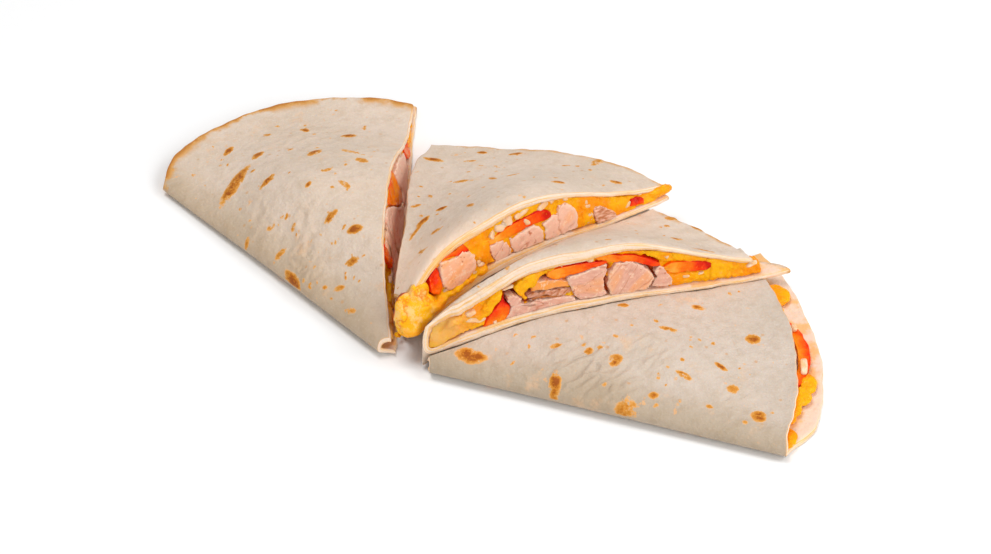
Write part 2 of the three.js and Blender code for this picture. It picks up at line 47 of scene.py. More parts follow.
# ---- The camera
# A long lens a little over 0.8 m from the middle of the fan, looking down on it at 42 degrees. It is
# level, and its frame is 991 by 554.
FAN_MIDDLE = np.array([0.00511, -0.00367, 0])
CAMERA_DISTANCE = 0.8328
CAMERA_TILT = math.radians(42)
FILM_WIDTH = 36
FRAME_WIDTH = 991
FOCAL_PIXELS = 2600
FOCAL_LENGTH = FILM_WIDTH * FOCAL_PIXELS / FRAME_WIDTH


def add_object(name, data):
    """A new object, linked into the scene."""
    made = bpy.data.objects.new(name, data)
    bpy.context.scene.collection.objects.link(made)
    return made


bpy.context.scene.view_settings.view_transform = "Standard"
lens = bpy.data.cameras.new("camera")
lens.sensor_width = FILM_WIDTH
lens.lens = FOCAL_LENGTH
camera = add_object("camera", lens)
camera.location = FAN_MIDDLE + CAMERA_DISTANCE * np.array([0, -math.cos(CAMERA_TILT), math.sin(CAMERA_TILT)])
camera.rotation_euler = (math.pi / 2 - CAMERA_TILT, 0, 0)
bpy.context.scene.camera = camera

# ---- The table and the light
# A plain white table top under a wide soft lamp, overhead and a little to the left, with weaker ones on
# the right and in front that open the shadows between and under the wedges.
LAMPS = {
    "key": dict(at=(-0.2, 0.05, 1.07), size=0.5, power=4.5),
    "side": dict(at=(0.72, -0.1, 0.78), size=0.5, power=2.7),
    "fill": dict(at=(0.6, -0.8, 0.5), size=0.7, power=4.4),
}
SKY = 0.5
TABLE_REACH = 3
TABLE_TOP = -0.0002


def set_inputs(node, values):
    """Sets a node's inputs to values that are the same all over."""
    for label, value in values.items():
        node.inputs[label].default_value = value


for name, lamp in LAMPS.items():
    light = bpy.data.lights.new(name, "AREA")
    light.shape = "DISK"
    light.size = lamp["size"]
    light.energy = lamp["power"]
    holder = add_object(name, light)
    holder.location = lamp["at"]
    holder.rotation_euler = (-Vector(lamp["at"])).to_track_quat("-Z", "Y").to_euler()
world = bpy.data.worlds.new("studio")
world.use_nodes = True
set_inputs(world.node_tree.nodes["Background"], {"Color": (1, 1, 1, 1), "Strength": SKY})
bpy.context.scene.world = world

table_mesh = bpy.data.meshes.new("table_top")
corners = [(x * TABLE_REACH, y * TABLE_REACH, TABLE_TOP) for x, y in ((-1, -1), (1, -1), (1, 1), (-1, 1))]
table_mesh.from_pydata(corners, [], [(0, 1, 2, 3)])
table_top = add_object("table_top", table_mesh)
table_paint = bpy.data.materials.new("white_table")
table_paint.use_nodes = True
set_inputs(table_paint.node_tree.nodes["Principled BSDF"], {
    "Base Color": (0.93, 0.93, 0.93, 1), "Roughness": 0.9, "Specular IOR Level": 0.1,
})
table_mesh.materials.append(table_paint)

# ---- Wedge 2's tortilla: two sheets
# Flour dough rolled thin and toasted in a dry pan. This wedge comes from the middle of the half-moon,
# so both its sides are cut and its upper and lower sheets are apart. It leans on wedge 3.
MM = 0.001
SHEET = 1.8
GAP = 0.35
SPAN = math.radians(45)
FOLD_ROUND = 6.5
POINT_ROUND = 4.5
FILLED_AT = 28
CORNER = 0.052
CORNER_ANGLE = math.radians(5.5)
HALF_WAY = 50
EDGE_DEPTHS = (0, 0.15, 0.5, 0.9, 1.3, 1.65, SHEET)
EDGE_SWELL = 0.42
TURN_STEPS = 1.6


def wedge(**sizes):
    """A wedge by its point, the heading of its first side, its rim's radius at the first side, half way
    and at the last side, and the lift of its underside at the point, half way out and at the rim."""
    usual = dict(
        fold_at=None, thinner=0, turn_at=0.45, tongue=0, push=0, bulge=0, tuck_under=0, closes=0.45, blunt=0,
        wraps_point=False, under=None, squeezed=(0, 0), tip_cut=(0, 0), oily=0, toasted_rim=0.7, rim_band=2,
        greyed=0, stands_back=0.9, hollows=(), lift=(0, 0, 0), lean=0, bow=0, at_fold=8,
    )
    return SimpleNamespace(**{**usual, **sizes})


def lerp(a, b, t):
    return a + (b - a) * t


def ease(t):
    c = np.clip(t, 0, 1)
    return c * c * (3 - 2 * c)


def turn_over(distance, reach):
    """A quarter ellipse: 0 at the edge, 1 at `reach` and beyond."""
    c = 1 - np.clip(distance / reach, 0, 1)
    return np.sqrt(1 - c * c)


def rim_top(w, u):
    first, middle, last = w.rim
    return first * (1 - u) * (1 - 2 * u) + 4 * middle * u * (1 - u) + last * u * (2 * u - 1)


def rim_bottom(w, u):
    """The lower sheet reaches further out, with a tongue at its first side and a rounded corner at a fold."""
    reach = rim_top(w, u) + w.lip + w.tongue * np.exp(-((u / 0.09) ** 2))
    if w.fold_at is None:
        return reach
    from_corner = np.abs(u - w.fold_at) * SPAN
    return reach * (1 - CORNER * np.exp(-((from_corner / CORNER_ANGLE) ** 2)))


def from_fold(w, r, u):
    return np.abs(r * np.sin(np.radians(w.from_fold) + u * SPAN))


def thickness(w, r, u):
    """From the fold to where it is filled, and pressed thinner again towards the rim."""
    filled = lerp(w.at_fold, w.full, ease(from_fold(w, r, u) / FILLED_AT)) * (1 - w.thinner * ease(1.4 * u))
    return lerp(filled, w.at_rim, ease((r / rim_bottom(w, u) - 0.48) / w.closes))


def underside(w, r, u):
    at_point, middle, at_end = w.lift
    near = lerp(at_point, middle, np.sin(math.pi / 2 * np.minimum(r, HALF_WAY) / HALF_WAY))
    far = lerp(middle, at_end, (1 - np.cos(math.pi * np.clip(r - HALF_WAY, 0, 90) / 70)) / 2)
    return np.where(r < HALF_WAY, near, far) * (1 - ease((u - 0.05) / 0.95))


def side_bow(w, r, u):
    """How far the first side is bowed and pushed outwards, which fades towards the last side."""
    return w.bow * np.sin(math.pi * np.clip(r, 0, 118) / 118) * (1 - u) + w.push * (1 - u) ** 3


def last_side_swell(w, r, u, height):
    """How far the last side swells out at its top, part of the way along, and tucks under at its foot."""
    along = np.exp(-(((r - 84) / 24) ** 2)) * (1 - ease((r - 92) / 12))
    return (w.bulge * along * height - w.tuck_under * (1 - height)) * u**3


def cover_height(w, x, y):
    """Height of a leaning wedge's underside over a place on the table, infinite where it doesn't reach."""
    dx, dy = x - w.point[0], y - w.point[1]
    r = np.hypot(dx, dy)
    bowed = (np.arctan2(dy, dx) - math.radians(w.heading)) / SPAN
    u = bowed + side_bow(w, r, np.clip(bowed, 0, 1)) / (np.maximum(r, 10) * SPAN)
    edge = rim_bottom(w, np.clip(u, 0, 1))
    outside = 1.2 * np.maximum(0, -u) * r * SPAN + 0.8 * np.maximum(0, r - edge)
    over = underside(w, r, np.maximum(u, 0)) + outside
    return np.where((u < -1.5) | (u > 1.2) | (r > edge + 12), np.inf, over)


def skin(w, r, u, top, depth):
    """A point `depth` inside the wedge's outer skin, at radius r and share u of the way across."""
    heading = math.radians(w.heading) + u * SPAN
    thick = thickness(w, r, u)
    turn = 1.0
    if w.fold_at is not None:
        turn = turn_over(from_fold(w, r, u) - depth, FOLD_ROUND - depth)
    if w.wraps_point:
        turn = turn_over(r - w.start - depth, POINT_ROUND - depth)
    middle = w.turn_at * thick
    up = np.where(top, middle + (thick - middle - depth) * turn, middle - (middle - depth) * turn)
    lean = math.radians(w.lean) * (1 - u)
    back = np.sin(lean) * up - side_bow(w, r, u) + last_side_swell(w, r, u, np.clip(up / thick, 0, 1))
    x = w.point[0] + r * np.cos(heading) - back * np.sin(heading)
    y = w.point[1] + r * np.sin(heading) + back * np.cos(heading)
    z = underside(w, r, u) + up * np.cos(lean)
    if w.under is not None:
        room = cover_height(w.under, x, y) - GAP - 0.15
        z = np.minimum(z, np.where(top, room - depth, np.maximum(room - 2 * SHEET - 3 + depth, depth)))
    return np.stack([x, y, z], axis=-1)


def sheet_depth(w, r, u, top):
    """Depth of a sheet's inner face: the knife squeezed the dough thicker along half of the first side."""
    near_cut = np.exp(-np.maximum(u, 0) * r * SPAN / 8) * ease((r - 3) / 12) * (1 - ease((r - 42) / 45))
    return SHEET + np.where(top, w.squeezed[1], w.squeezed[0]) * near_cut


def share_of(distance, r):
    """The share of a wedge's angle that `distance` takes up at radius r."""
    return distance / (np.maximum(r, 8) * SPAN)


def ragged(t, seed, size):
    """How far a torn or knife-cut edge wanders, by the distance t along it."""
    waves = ((31, 0.5), (13, 0.3), (5.2, 0.2))
    wander = 0
    for k, (wave, share) in enumerate(waves):
        wander = wander + share * np.sin(2 * math.pi * t / wave + seed * (k + 2.3))
    return size * wander


def add_mesh(name, points, faces, values=None, weld=True):
    """A mesh of points in millimetres about the fan's own middle, with named values on its points."""
    mesh = bpy.data.meshes.new(name)
    shifted = np.asarray(points, float).reshape(-1, 3) * MM + FAN_MIDDLE
    mesh.from_pydata(shifted.tolist(), [], faces if isinstance(faces, list) else faces.tolist())
    for key, data in (values or {}).items():
        flat = np.asarray(data, np.float32)
        kind, field = ("FLOAT_VECTOR", "vector") if flat.ndim == 2 else ("FLOAT", "value")
        mesh.attributes.new(key, kind, "POINT").data.foreach_set(field, flat.ravel())
    if weld:
        whole = bmesh.new()
        whole.from_mesh(mesh)
        bmesh.ops.remove_doubles(whole, verts=whole.verts, dist=1e-6)
        bmesh.ops.recalc_face_normals(whole, faces=whole.faces)
        whole.to_mesh(mesh)
        whole.free()
    mesh.shade_smooth()
    return add_object(name, mesh)


def grid_faces(rows, columns, first=0):
    i, j = np.meshgrid(np.arange(rows), np.arange(columns), indexing="ij")
    corner = (first + i * (columns + 1) + j).ravel()
    return np.stack([corner, corner + columns + 1, corner + columns + 2, corner + 1], axis=1)


def border(rows, columns):
    """The border of a grid, once round, as indices into it."""
    side = columns + 1
    return np.concatenate([
        np.arange(0, columns), np.arange(columns, rows * side + columns, side),
        np.arange(rows * side + columns, rows * side, -1), np.arange(rows * side, 0, -side),
    ])


def spot_heat(r, u, spots):
    """How strongly each place is marked by spots: each lies `along` from the point and `across` degrees
    from the first side, and is long and wide in millimetres, turned from the radius."""
    heat = np.zeros_like(r)
    x, y = r * np.cos(u * SPAN), r * np.sin(u * SPAN)
    for along, across, long, wide, turn, strength in spots:
        angle = math.radians(across)
        dx, dy = x - along * math.cos(angle), y - along * math.sin(angle)
        lie = angle + math.radians(turn)
        near = np.abs(dx * math.cos(lie) + dy * math.sin(lie)) * 2.3 / long
        aside = np.abs(dy * math.cos(lie) - dx * math.sin(lie)) * 2.3 / wide
        heat = np.maximum(heat, strength * np.exp(-0.9 * (near**1.7 + aside**1.7) ** 1.8))
    return heat


def random_spots(seed, count, reach, sizes, strength):
    draw = np.random.default_rng(seed)
    spots = []
    for _ in range(count):
        along = reach * math.sqrt(draw.uniform(0.03, 1))
        long = draw.uniform(*sizes)
        spots.append((along, draw.uniform(1, 44), long, long * draw.uniform(0.4, 0.8), draw.uniform(0, 180),
                      strength * draw.uniform(0.5, 1)))
    return spots


def marks(seed, reach, small, spots, creases=()):
    """A sheet's marks: its own spots, small ones strewn between them (their number, greatest size and
    strength), large ones underneath, and creases."""
    count, largest, strength = small
    return {
        "top": spots + random_spots(seed + 1, count, reach, (1.2, largest), strength),
        "bottom": random_spots(seed + 2, 40, reach, (2, 7), 0.95),
        "creases": creases,
    }


def sheet_mesh(name, w, lay, v_steps, c_steps, spots):
    """A sheet as two grids, its outer and its inner face, and a rounded wall round their border.
    `lay` places a grid: v and c from 0 to 1, the depth, and how far the border reaches out."""
    rows, columns = len(v_steps) - 1, len(c_steps) - 1
    v, c = np.meshgrid(v_steps, c_steps, indexing="ij")
    loop = border(rows, columns)
    points, faces, rings, values = [], [], [], {}
    count = 0
    for depth in EDGE_DEPTHS:
        swell = EDGE_SWELL * math.sin(math.pi * depth / SHEET) ** 0.6
        place, r, u, top, reach = lay(v, c, depth, swell)
        heat = spot_heat(r, u, spots["top"]) * top + spot_heat(r, u, spots["bottom"]) * (1 - top)
        layer = {
            "toast": heat, "inside": depth / SHEET, "greyed": w.greyed, "blister": heat * (depth == 0),
            "rim": w.toasted_rim * np.exp(-np.maximum(reach - r, 0) / w.rim_band),
            "crease": spot_heat(r, u, spots["creases"]) * top,
            # Nearness to a fold, which carries painted shade on the dough.
            "fold": (1 - ease(from_fold(w, r, u) / 15)) * (w.fold_at is not None),
            "oily": np.exp(-((r - w.oily) / 12) ** 2) * (1 - 0.3 * top) * (w.oily > 0),
            # Towards wedge 2's point: painted light, paler and warmer where the sheet turns away from the
            # lamps.
            "painted_light": 0.65 * (1 - ease((r - 24) / 26)) * (w.oily > 0),
        }
        whole = depth in (0, SHEET)
        chosen = np.arange(r.size) if whole else loop
        points.append(place.reshape(-1, 3)[chosen])
        for key, data in layer.items():
            values.setdefault(key, []).append(np.broadcast_to(data, r.shape).ravel()[chosen])
        rings.append(count + (loop if whole else np.arange(len(loop))))
        if whole:
            faces.append(grid_faces(rows, columns, count))
        count += len(chosen)
    for ring, following in zip(rings, rings[1:]):
        faces.append(np.stack([ring, np.roll(ring, -1), np.roll(following, -1), following], axis=1))
    return add_mesh(name, np.concatenate(points), np.concatenate(faces),
                    {key: np.concatenate(data) for key, data in values.items()})


class Wire:
    """A value in a node tree, by the socket that gives it. Arithmetic with it adds maths nodes."""

    def __init__(self, tree, socket):
        self.tree = tree
        self.socket = socket

    def maths(self, operation, *values, clamp=False):
        feeds = dict(enumerate((self, *values)))
        return put(self.tree, "ShaderNodeMath", feeds, operation=operation, use_clamp=clamp)

    def __add__(self, other):
        return self.maths("ADD", other)

    def __sub__(self, other):
        return self.maths("SUBTRACT", other)

    def __mul__(self, other):
        return self.maths("MULTIPLY", other)

    def __pow__(self, other):
        return self.maths("POWER", other)

    def __rtruediv__(self, other):
        return put(self.tree, "ShaderNodeMath", {0: other, 1: self}, operation="DIVIDE")

    def __abs__(self):
        return self.maths("ABSOLUTE")

    def step(self, low, high, start=0.0, end=1.0):
        """A smooth step from `start` to `end` as the value goes from low to high."""
        feeds = {"Value": self, "From Min": low, "From Max": high, "To Min": start, "To Max": end}
        return put(self.tree, "ShaderNodeMapRange", feeds, interpolation_type="SMOOTHSTEP")

    def beside(self, name):
        """Another output of the same node."""
        return Wire(self.tree, self.socket.node.outputs[name])


def put(tree, kind, feeds=None, out=0, **settings):
    """Adds a node to a tree, sets its properties, sets or links its inputs, and gives one output."""
    made = tree.nodes.new(kind)
    for name, value in settings.items():
        setattr(made, name, value)
    for socket, value in (feeds or {}).items():
        if isinstance(value, Wire):
            tree.links.new(value.socket, made.inputs[socket])
        else:
            made.inputs[socket].default_value = value
    return Wire(tree, made.outputs[out])


def noise(place, scale, detail=2.0, rough=0.5, **more):
    feeds = {"Vector": place, "Scale": scale, "Detail": detail, "Roughness": rough, **more}
    return put(place.tree, "ShaderNodeTexNoise", feeds, noise_dimensions="4D" if "W" in more else "3D")


def vector(operation, a, b):
    second = "Scale" if operation == "SCALE" else 1
    return put(a.tree, "ShaderNodeVectorMath", {0: a, second: b}, operation=operation)


def blend(share, a, b, how="MIX"):
    under, over = ((*value, 1) if isinstance(value, tuple) else value for value in (a, b))
    feeds = {0: share, 6: under, 7: over}
    return put(share.tree, "ShaderNodeMix", feeds, 2, data_type="RGBA", blend_type=how)


def layered(colour, layers):
    """Lays (share, colour) over a colour, one after the other. A third item says how it is laid."""
    for share, over, *how in layers:
        colour = blend(share, colour, over, *how)
    return colour


def ramp(value, stops):
    made = put(value.tree, "ShaderNodeValToRGB", {0: value})
    row = made.socket.node.color_ramp.elements
    while len(row) < len(stops):
        row.new(1)
    for stop, (at, colour) in zip(row, stops):
        stop.position = at
        stop.color = (*colour, 1)
    return made


def own(tree, name, out="Fac"):
    """A material's reading of a value on the piece's points."""
    return put(tree, "ShaderNodeAttribute", out=out, attribute_name=name)


def new_material(name):
    material = bpy.data.materials.new(name)
    material.use_nodes = True
    return material, material.node_tree, put(material.node_tree, "ShaderNodeTexCoord", out="Object")


def close_material(material, colour, relief, roughness, shine, subsurface, radius, coat=0.0):
    """Gives a material its colour, its relief as (height, distance) pairs, and what is the same all over."""
    tree = material.node_tree
    shader = tree.nodes["Principled BSDF"]
    tree.links.new(colour.socket, shader.inputs["Base Color"])
    laid = {}
    for height, distance in relief:
        feeds = {"Height": height, "Distance": distance, "Strength": 1.0, **laid}
        laid = {"Normal": put(tree, "ShaderNodeBump", feeds)}
    tree.links.new(laid["Normal"].socket, shader.inputs["Normal"])
    set_inputs(shader, {
        "Roughness": roughness, "Specular IOR Level": shine, "Subsurface Weight": subsurface,
        "Subsurface Radius": radius, "Subsurface Scale": 1.0, "Coat Weight": coat, "Coat Roughness": 0.12,
    })
    return material


def baked_dough():
    """Pale floury dough, toasted brown in spots and along the rim, and soaked gold on its inner face."""
    material, tree, place = new_material("baked_dough")
    broad = noise(place, 38, 3)
    mottle = noise(place, 260, 4, 0.6)
    flour = noise(place, 1300, 2)
    warm = noise(place, 95, 4, 0.65)
    flecks = noise(place, 330, 3, 0.6)
    specks = put(tree, "ShaderNodeTexVoronoi", {"Vector": place, "Scale": 330, "Randomness": 1.0}, "Distance")
    rare = put(tree, "ShaderNodeSeparateColor", {0: specks.beside("Color")}).step(0.84, 0.88)
    colour = blend(broad.step(0.35, 0.65), (0.66, 0.53, 0.42), (0.72, 0.58, 0.47))
    colour = layered(colour, [
        (mottle.step(0.42, 0.72, 0, 0.5), (0.58, 0.44, 0.32)),
        (flour.step(0.5, 0.8, 0, 0.4), (0.80, 0.70, 0.61)),
        # Painted shade: darker dough in the creased patches, where the wrinkles shade it.
        (own(tree, "crease") * broad.step(0.3, 0.6, 0.1, 0.4), (0.62, 0.45, 0.30)),
        # Painted shade: darker, warmer dough near a fold, where it turns away from the lamps.
        (own(tree, "fold"), (0.77, 0.73, 0.64), "MULTIPLY"),
        # Painted shade: wedge 4's whole sheet a little darker and greyer.
        (own(tree, "greyed"), (0.87, 0.90, 0.93), "MULTIPLY"),
        # Painted light: paler, warmer dough towards wedge 2's point.
        (own(tree, "painted_light"), (0.95, 0.70, 0.53)),
        (warm.step(0.58, 0.74, 0, 0.55), (0.76, 0.48, 0.28)),
        (flecks.step(0.66, 0.74, 0, 0.7), (0.80, 0.42, 0.17)),
        (specks.step(0.12, 0.26, 1, 0) * rare * 0.55, (0.60, 0.30, 0.11)),
    ])
    heat = own(tree, "toast") * (noise(place, 560, 5, 0.8) * 4.0 + (noise(place, 190, 2) * 2.4 - 2.15))
    toasted = ramp(heat, [
        (0.14, (0.78, 0.50, 0.30)), (0.26, (0.73, 0.36, 0.10)), (0.45, (0.64, 0.26, 0.03)),
        (0.72, (0.52, 0.17, 0.008)), (0.95, (0.35, 0.085, 0.003)),
    ])
    inside = own(tree, "inside")
    across = put(tree, "ShaderNodeCombineXYZ", {2: inside * 8})
    stacked = vector("ADD", vector("MULTIPLY", place, (70, 70, 70)), across)
    layers = noise(stacked, 1.0, 3) + own(tree, "oily") * 0.3 + inside.step(0.5, 0.95, 0, 0.17)
    crumb = blend(layers.step(0.5, 0.64), (0.88, 0.70, 0.55), (0.87, 0.53, 0.20))
    crumb = blend(layers.step(0.72, 0.85), crumb, (0.90, 0.36, 0.03))
    soaked = blend(warm.step(0.46, 0.6), (0.82, 0.61, 0.47), (0.84, 0.48, 0.20))
    patchy = noise(place, 85, 4, 0.6).step(0.35, 0.62, 0.3, 1.5)
    rim = own(tree, "rim") * patchy * inside.step(0.5, 0.9, 1, 0.55)
    colour = layered(colour, [
        (heat.step(0.13, 0.26), toasted),
        (inside.step(0.02, 0.1), crumb),
        (inside.step(0.005, 0.04) * inside.step(0.05, 0.11, 0.7, 0), (0.72, 0.40, 0.15)),
        (inside.step(0.75, 0.98), soaked),
        (rim.step(0.3, 1.0, 0, 0.9), (0.66, 0.31, 0.06)),
        (rim.step(0.85, 1.4, 0, 0.7), (0.46, 0.15, 0.01)),
    ])
    return close_material(material, colour, [(mottle, 0.0007), (flour, 0.00016)], roughness=0.62, shine=0.25,
                          subsurface=0.12, radius=(0.0015, 0.0009, 0.0005))


def new_shape_tree(name, *sizes):
    """A Geometry Nodes tree with a mesh in and out, and named sizes and a material as further inputs."""
    tree = bpy.data.node_groups.new(name, "GeometryNodeTree")
    tree.interface.new_socket(name="Geometry", in_out="OUTPUT", socket_type="NodeSocketGeometry")
    kinds = {"Geometry": "Geometry", **{size: "Float" for size in sizes}, "Material": "Material"}
    for label, kind in kinds.items():
        tree.interface.new_socket(name=label, in_out="INPUT", socket_type="NodeSocket" + kind)
    given = {socket.name: Wire(tree, socket) for socket in tree.nodes.new("NodeGroupInput").outputs}
    return tree, given, put(tree, "GeometryNodeInputPosition")


def stored(tree, name, kind="FLOAT"):
    """A shape tree's reading of a value on the piece's points."""
    return put(tree, "GeometryNodeInputNamedAttribute", {"Name": name}, data_type=kind)


def moved_out(geometry, distance, also=None):
    """Moves each point along its normal, and by `also`."""
    out = vector("SCALE", put(geometry.tree, "GeometryNodeInputNormal"), distance)
    if also is not None:
        out = vector("ADD", out, also)
    return put(geometry.tree, "GeometryNodeSetPosition", {"Geometry": geometry, "Offset": out})


def close_shape_tree(geometry, given):
    tree = geometry.tree
    whole = put(tree, "GeometryNodeRealizeInstances", {"Geometry": geometry})
    painted = put(tree, "GeometryNodeSetMaterial", {"Geometry": whole, "Material": given["Material"]})
    tree.links.new(painted.socket, tree.nodes.new("NodeGroupOutput").inputs["Geometry"])
    return tree


def make_uneven(piece, tree, **sizes):
    """Shapes a piece with a tree, whose inputs are set before it is first evaluated, and with the piece's
    other modifiers, and leaves it a plain mesh."""
    modifier = piece.modifiers.new(tree.name, "NODES")
    modifier.node_group = tree
    for item in tree.interface.items_tree:
        label = item.name.lower().replace(" ", "_")
        if item.in_out == "INPUT" and label in sizes:
            modifier[item.identifier] = sizes[label]
    graph = bpy.context.evaluated_depsgraph_get()
    shaped = piece.evaluated_get(graph)
    mesh = bpy.data.meshes.new_from_object(shaped, preserve_all_data_layers=True, depsgraph=graph)
    piece.modifiers.clear()
    piece.data = mesh
    mesh.name = piece.name
    mesh.shade_smooth()


def stand_for(piece, slot, *nodes):
    """Says what a finished piece rides on and hides the solids it stands for. Its slot, what it is made of,
    is not used.
    """
    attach(piece, "root")
    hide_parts(*nodes)


def dough_tree():
    """Uneven dough: the sheet waves where it is clear of the table, swells in blisters where it is toasted,
    and puckers where it is creased."""
    tree, given, place = new_shape_tree("uneven_dough", "Wave Height", "Wave Size", "Blister Height",
                                        "Pebble Height", "Pucker Height", "Seed")
    seed = given["Seed"]
    wave = noise(place, 1.0 / given["Wave Size"], 1.0, W=seed)
    pebble = noise(place, 210.0, W=seed)
    slanting = put(tree, "ShaderNodeVectorRotate", {"Vector": place, "Angle": -0.65}, rotation_type="Z_AXIS")
    pleat = noise(vector("MULTIPLY", slanting, (80, 260, 120)), 1.0, W=seed, Distortion=0.6)
    ridge = (abs(pleat * 5.0 - 2.5) * -1.0).maths("ADD", 1.0, clamp=True) ** 1.6
    clear = put(tree, "ShaderNodeSeparateXYZ", {0: place}, 2).step(0.002, 0.009)
    rise = (wave - 0.5) * given["Wave Height"] * clear
    swell = (pebble - 0.5) * given["Pebble Height"] + stored(tree, "blister") * given["Blister Height"]
    swell = (swell + ridge * (stored(tree, "crease") * given["Pucker Height"])) * clear
    lift = put(tree, "ShaderNodeCombineXYZ", {2: rise})
    return close_shape_tree(moved_out(given["Geometry"], swell, lift), given)


dough = baked_dough()
uneven_dough = dough_tree()


def finish_sheet(piece, seed, node):
    make_uneven(piece, uneven_dough, wave_height=0.0018, wave_size=0.017, blister_height=0.00035,
                pebble_height=0.0005, pucker_height=0.0013, seed=float(seed), material=dough)
    stand_for(piece, "tortilla", node)


def start_of(w, top, u):
    """Where an open wedge's sheet starts: its underside is blunter towards the last side, and the tip of
    its upper sheet is cut away."""
    short, slant = w.tip_cut
    return w.start + np.where(top, 0.3 * w.blunt * u + short + slant * u * u, w.blunt * (0.3 + 0.7 * u))


def across_cuts(r, c, seed, past):
    """u at a share c of the way across, `past` beyond both ragged cuts."""
    return c + (2 * c - 1) * share_of(past + ragged(r, seed + 3 * c, 0.25) * np.abs(2 * c - 1), r)


def open_sheet(w, top, seed):
    def lay(v, c, depth, past):
        rim = (rim_top(w, c) if top else rim_bottom(w, c)) + ragged(c * 80, seed, 0.5)
        r = lerp(start_of(w, top, c) - past, rim + past, v)
        u = across_cuts(r, c, seed, past)
        return skin(w, r, u, top, depth * sheet_depth(w, r, c, top) / SHEET), r, c, float(top), rim
    return lay


wedge_2 = wedge(
    point=(-34.4, -43.8), heading=37.8, from_fold=90, rim=(112.3, 105.8, 103.3), lip=2, start=8, full=19,
    at_rim=6.5, lift=(4.6, 19.4, 10), lean=16, bow=2.1, thinner=0.1, bulge=3.6, tuck_under=3.5, closes=0.56,
    blunt=9, squeezed=(1.6, 1.3), tip_cut=(7, 4.5), oily=24, stands_back=0.45,
    hollows=((20.5, 2.2, 3), (42, 1.2, 1.6)),
)
# Spots and creases: along, across, long, wide, turn, strength.
marks_2 = marks(20, 100, (44, 2.6, 0.5), [
    (93, 42, 7, 2.6, 72, 0.9), (93, 35, 4.5, 2.2, 107, 0.5), (100, 34.5, 3.4, 2, 95, 0.8),
    (101, 28, 5, 2.2, 115, 0.7), (76, 25, 5, 2, 60, 0.55), (76, 33, 5, 2.4, 110, 0.55),
    (80, 21, 6, 2.4, 150, 0.4), (77, 6, 5, 2.6, 150, 0.95), (98, 3.5, 5, 2.4, 145, 0.95),
    (106, 12, 6, 3.4, 2, 1.0), (97, 15.5, 4, 1.6, 155, 0.6), (50, 18, 5.5, 2.2, 60, 0.6),
    (56, 33, 4, 1.8, 110, 0.9), (60, 42.5, 4, 1.8, 115, 0.7), (51, 38.5, 5.5, 2.4, 145, 0.8),
    (43, 28.5, 5, 3, 105, 0.5), (34, 30, 4.5, 2.2, 85, 0.5), (47, 40, 10, 1.5, 163, 0.6),
    (66, 39, 3, 1.4, 30, 0.5), (88, 28, 4, 2, 60, 0.35),
])
ROWS = np.linspace(0, 1, 190)
ACROSS = np.linspace(0, 1, 120)
tortilla_2 = [("upper_tortilla_2", True, "tortilla_2_top"), ("lower_tortilla_2", False, "tortilla_2_bottom")]
for name, top, node in tortilla_2:
    piece = sheet_mesh(name, wedge_2, open_sheet(wedge_2, top, 1.7 + top), ROWS, ACROSS, marks_2)
    finish_sheet(piece, 2, node)

# ---- Wedge 3's tortilla: one sheet that wraps the point
# The same dough from nearer the fold. Its sheet turns over at the wedge's point and runs on as the
# lower sheet, which is longer at the rim. It leans on wedge 4.
wedge_3 = wedge(
    point=(-23, -43.2), heading=18.3, from_fold=45, rim=(109.8, 97.2, 100.6), lip=2, tongue=10.5, start=1,
    full=21.2, at_fold=14, at_rim=7.2, lift=(4.8, 12, 5.9), lean=9, bow=0.75, thinner=0.39, closes=0.54,
    wraps_point=True, turn_at=0.28, under=wedge_2, squeezed=(1.5, 2.6),
    hollows=((30.5, 2.6, 3), (40.5, 6, 2.4), (52.5, 1.2, 1.6), (61, 0.9, 1.8), (75.5, 1.8, 2)),
)
marks_3 = marks(30, 98, (34, 3, 0.55), [
    (98, 17, 5, 2.2, 137, 0.9), (102, 11.5, 7, 2.2, 122, 0.9), (90, 8.5, 5, 1.6, 146, 0.5),
    (94, 1.5, 10, 1.3, 160, 0.7), (101, 14, 4, 2, 133, 0.7),
], [(85, 6, 34, 9, 6, 0.7), (16, 8, 22, 12, 0, 0.6)])


def wrapped_sheet(w, seed):
    def lay(v, c, depth, past):
        turned = 2 * c - 1
        top = turned >= 0
        rim = np.where(top, rim_top(w, v), rim_bottom(w, v)) + ragged(v * 80, seed + top, 0.5)
        r = lerp(w.start + depth, rim + past, np.abs(turned) ** TURN_STEPS)
        u = across_cuts(r, v, seed, past)
        return skin(w, r, u, top, depth * sheet_depth(w, r, v, top) / SHEET), r, v, top.astype(float), rim
    return lay


def closer(first, last, *counts):
    """Steps from 0 to 1 in three stretches, which meet at `first` and `last`, with a number of steps each."""
    ends = [0, first, last, 1]
    return np.concatenate([np.linspace(a, b, count)[a > 0:] for a, b, count in zip(ends, ends[1:], counts)])


piece = sheet_mesh("wrapped_tortilla_3", wedge_3, wrapped_sheet(wedge_3, 4.1), np.linspace(0, 1, 100),
                   closer(0.38, 0.62, 70, 60, 130), marks_3)
finish_sheet(piece, 3, "tortilla_3")
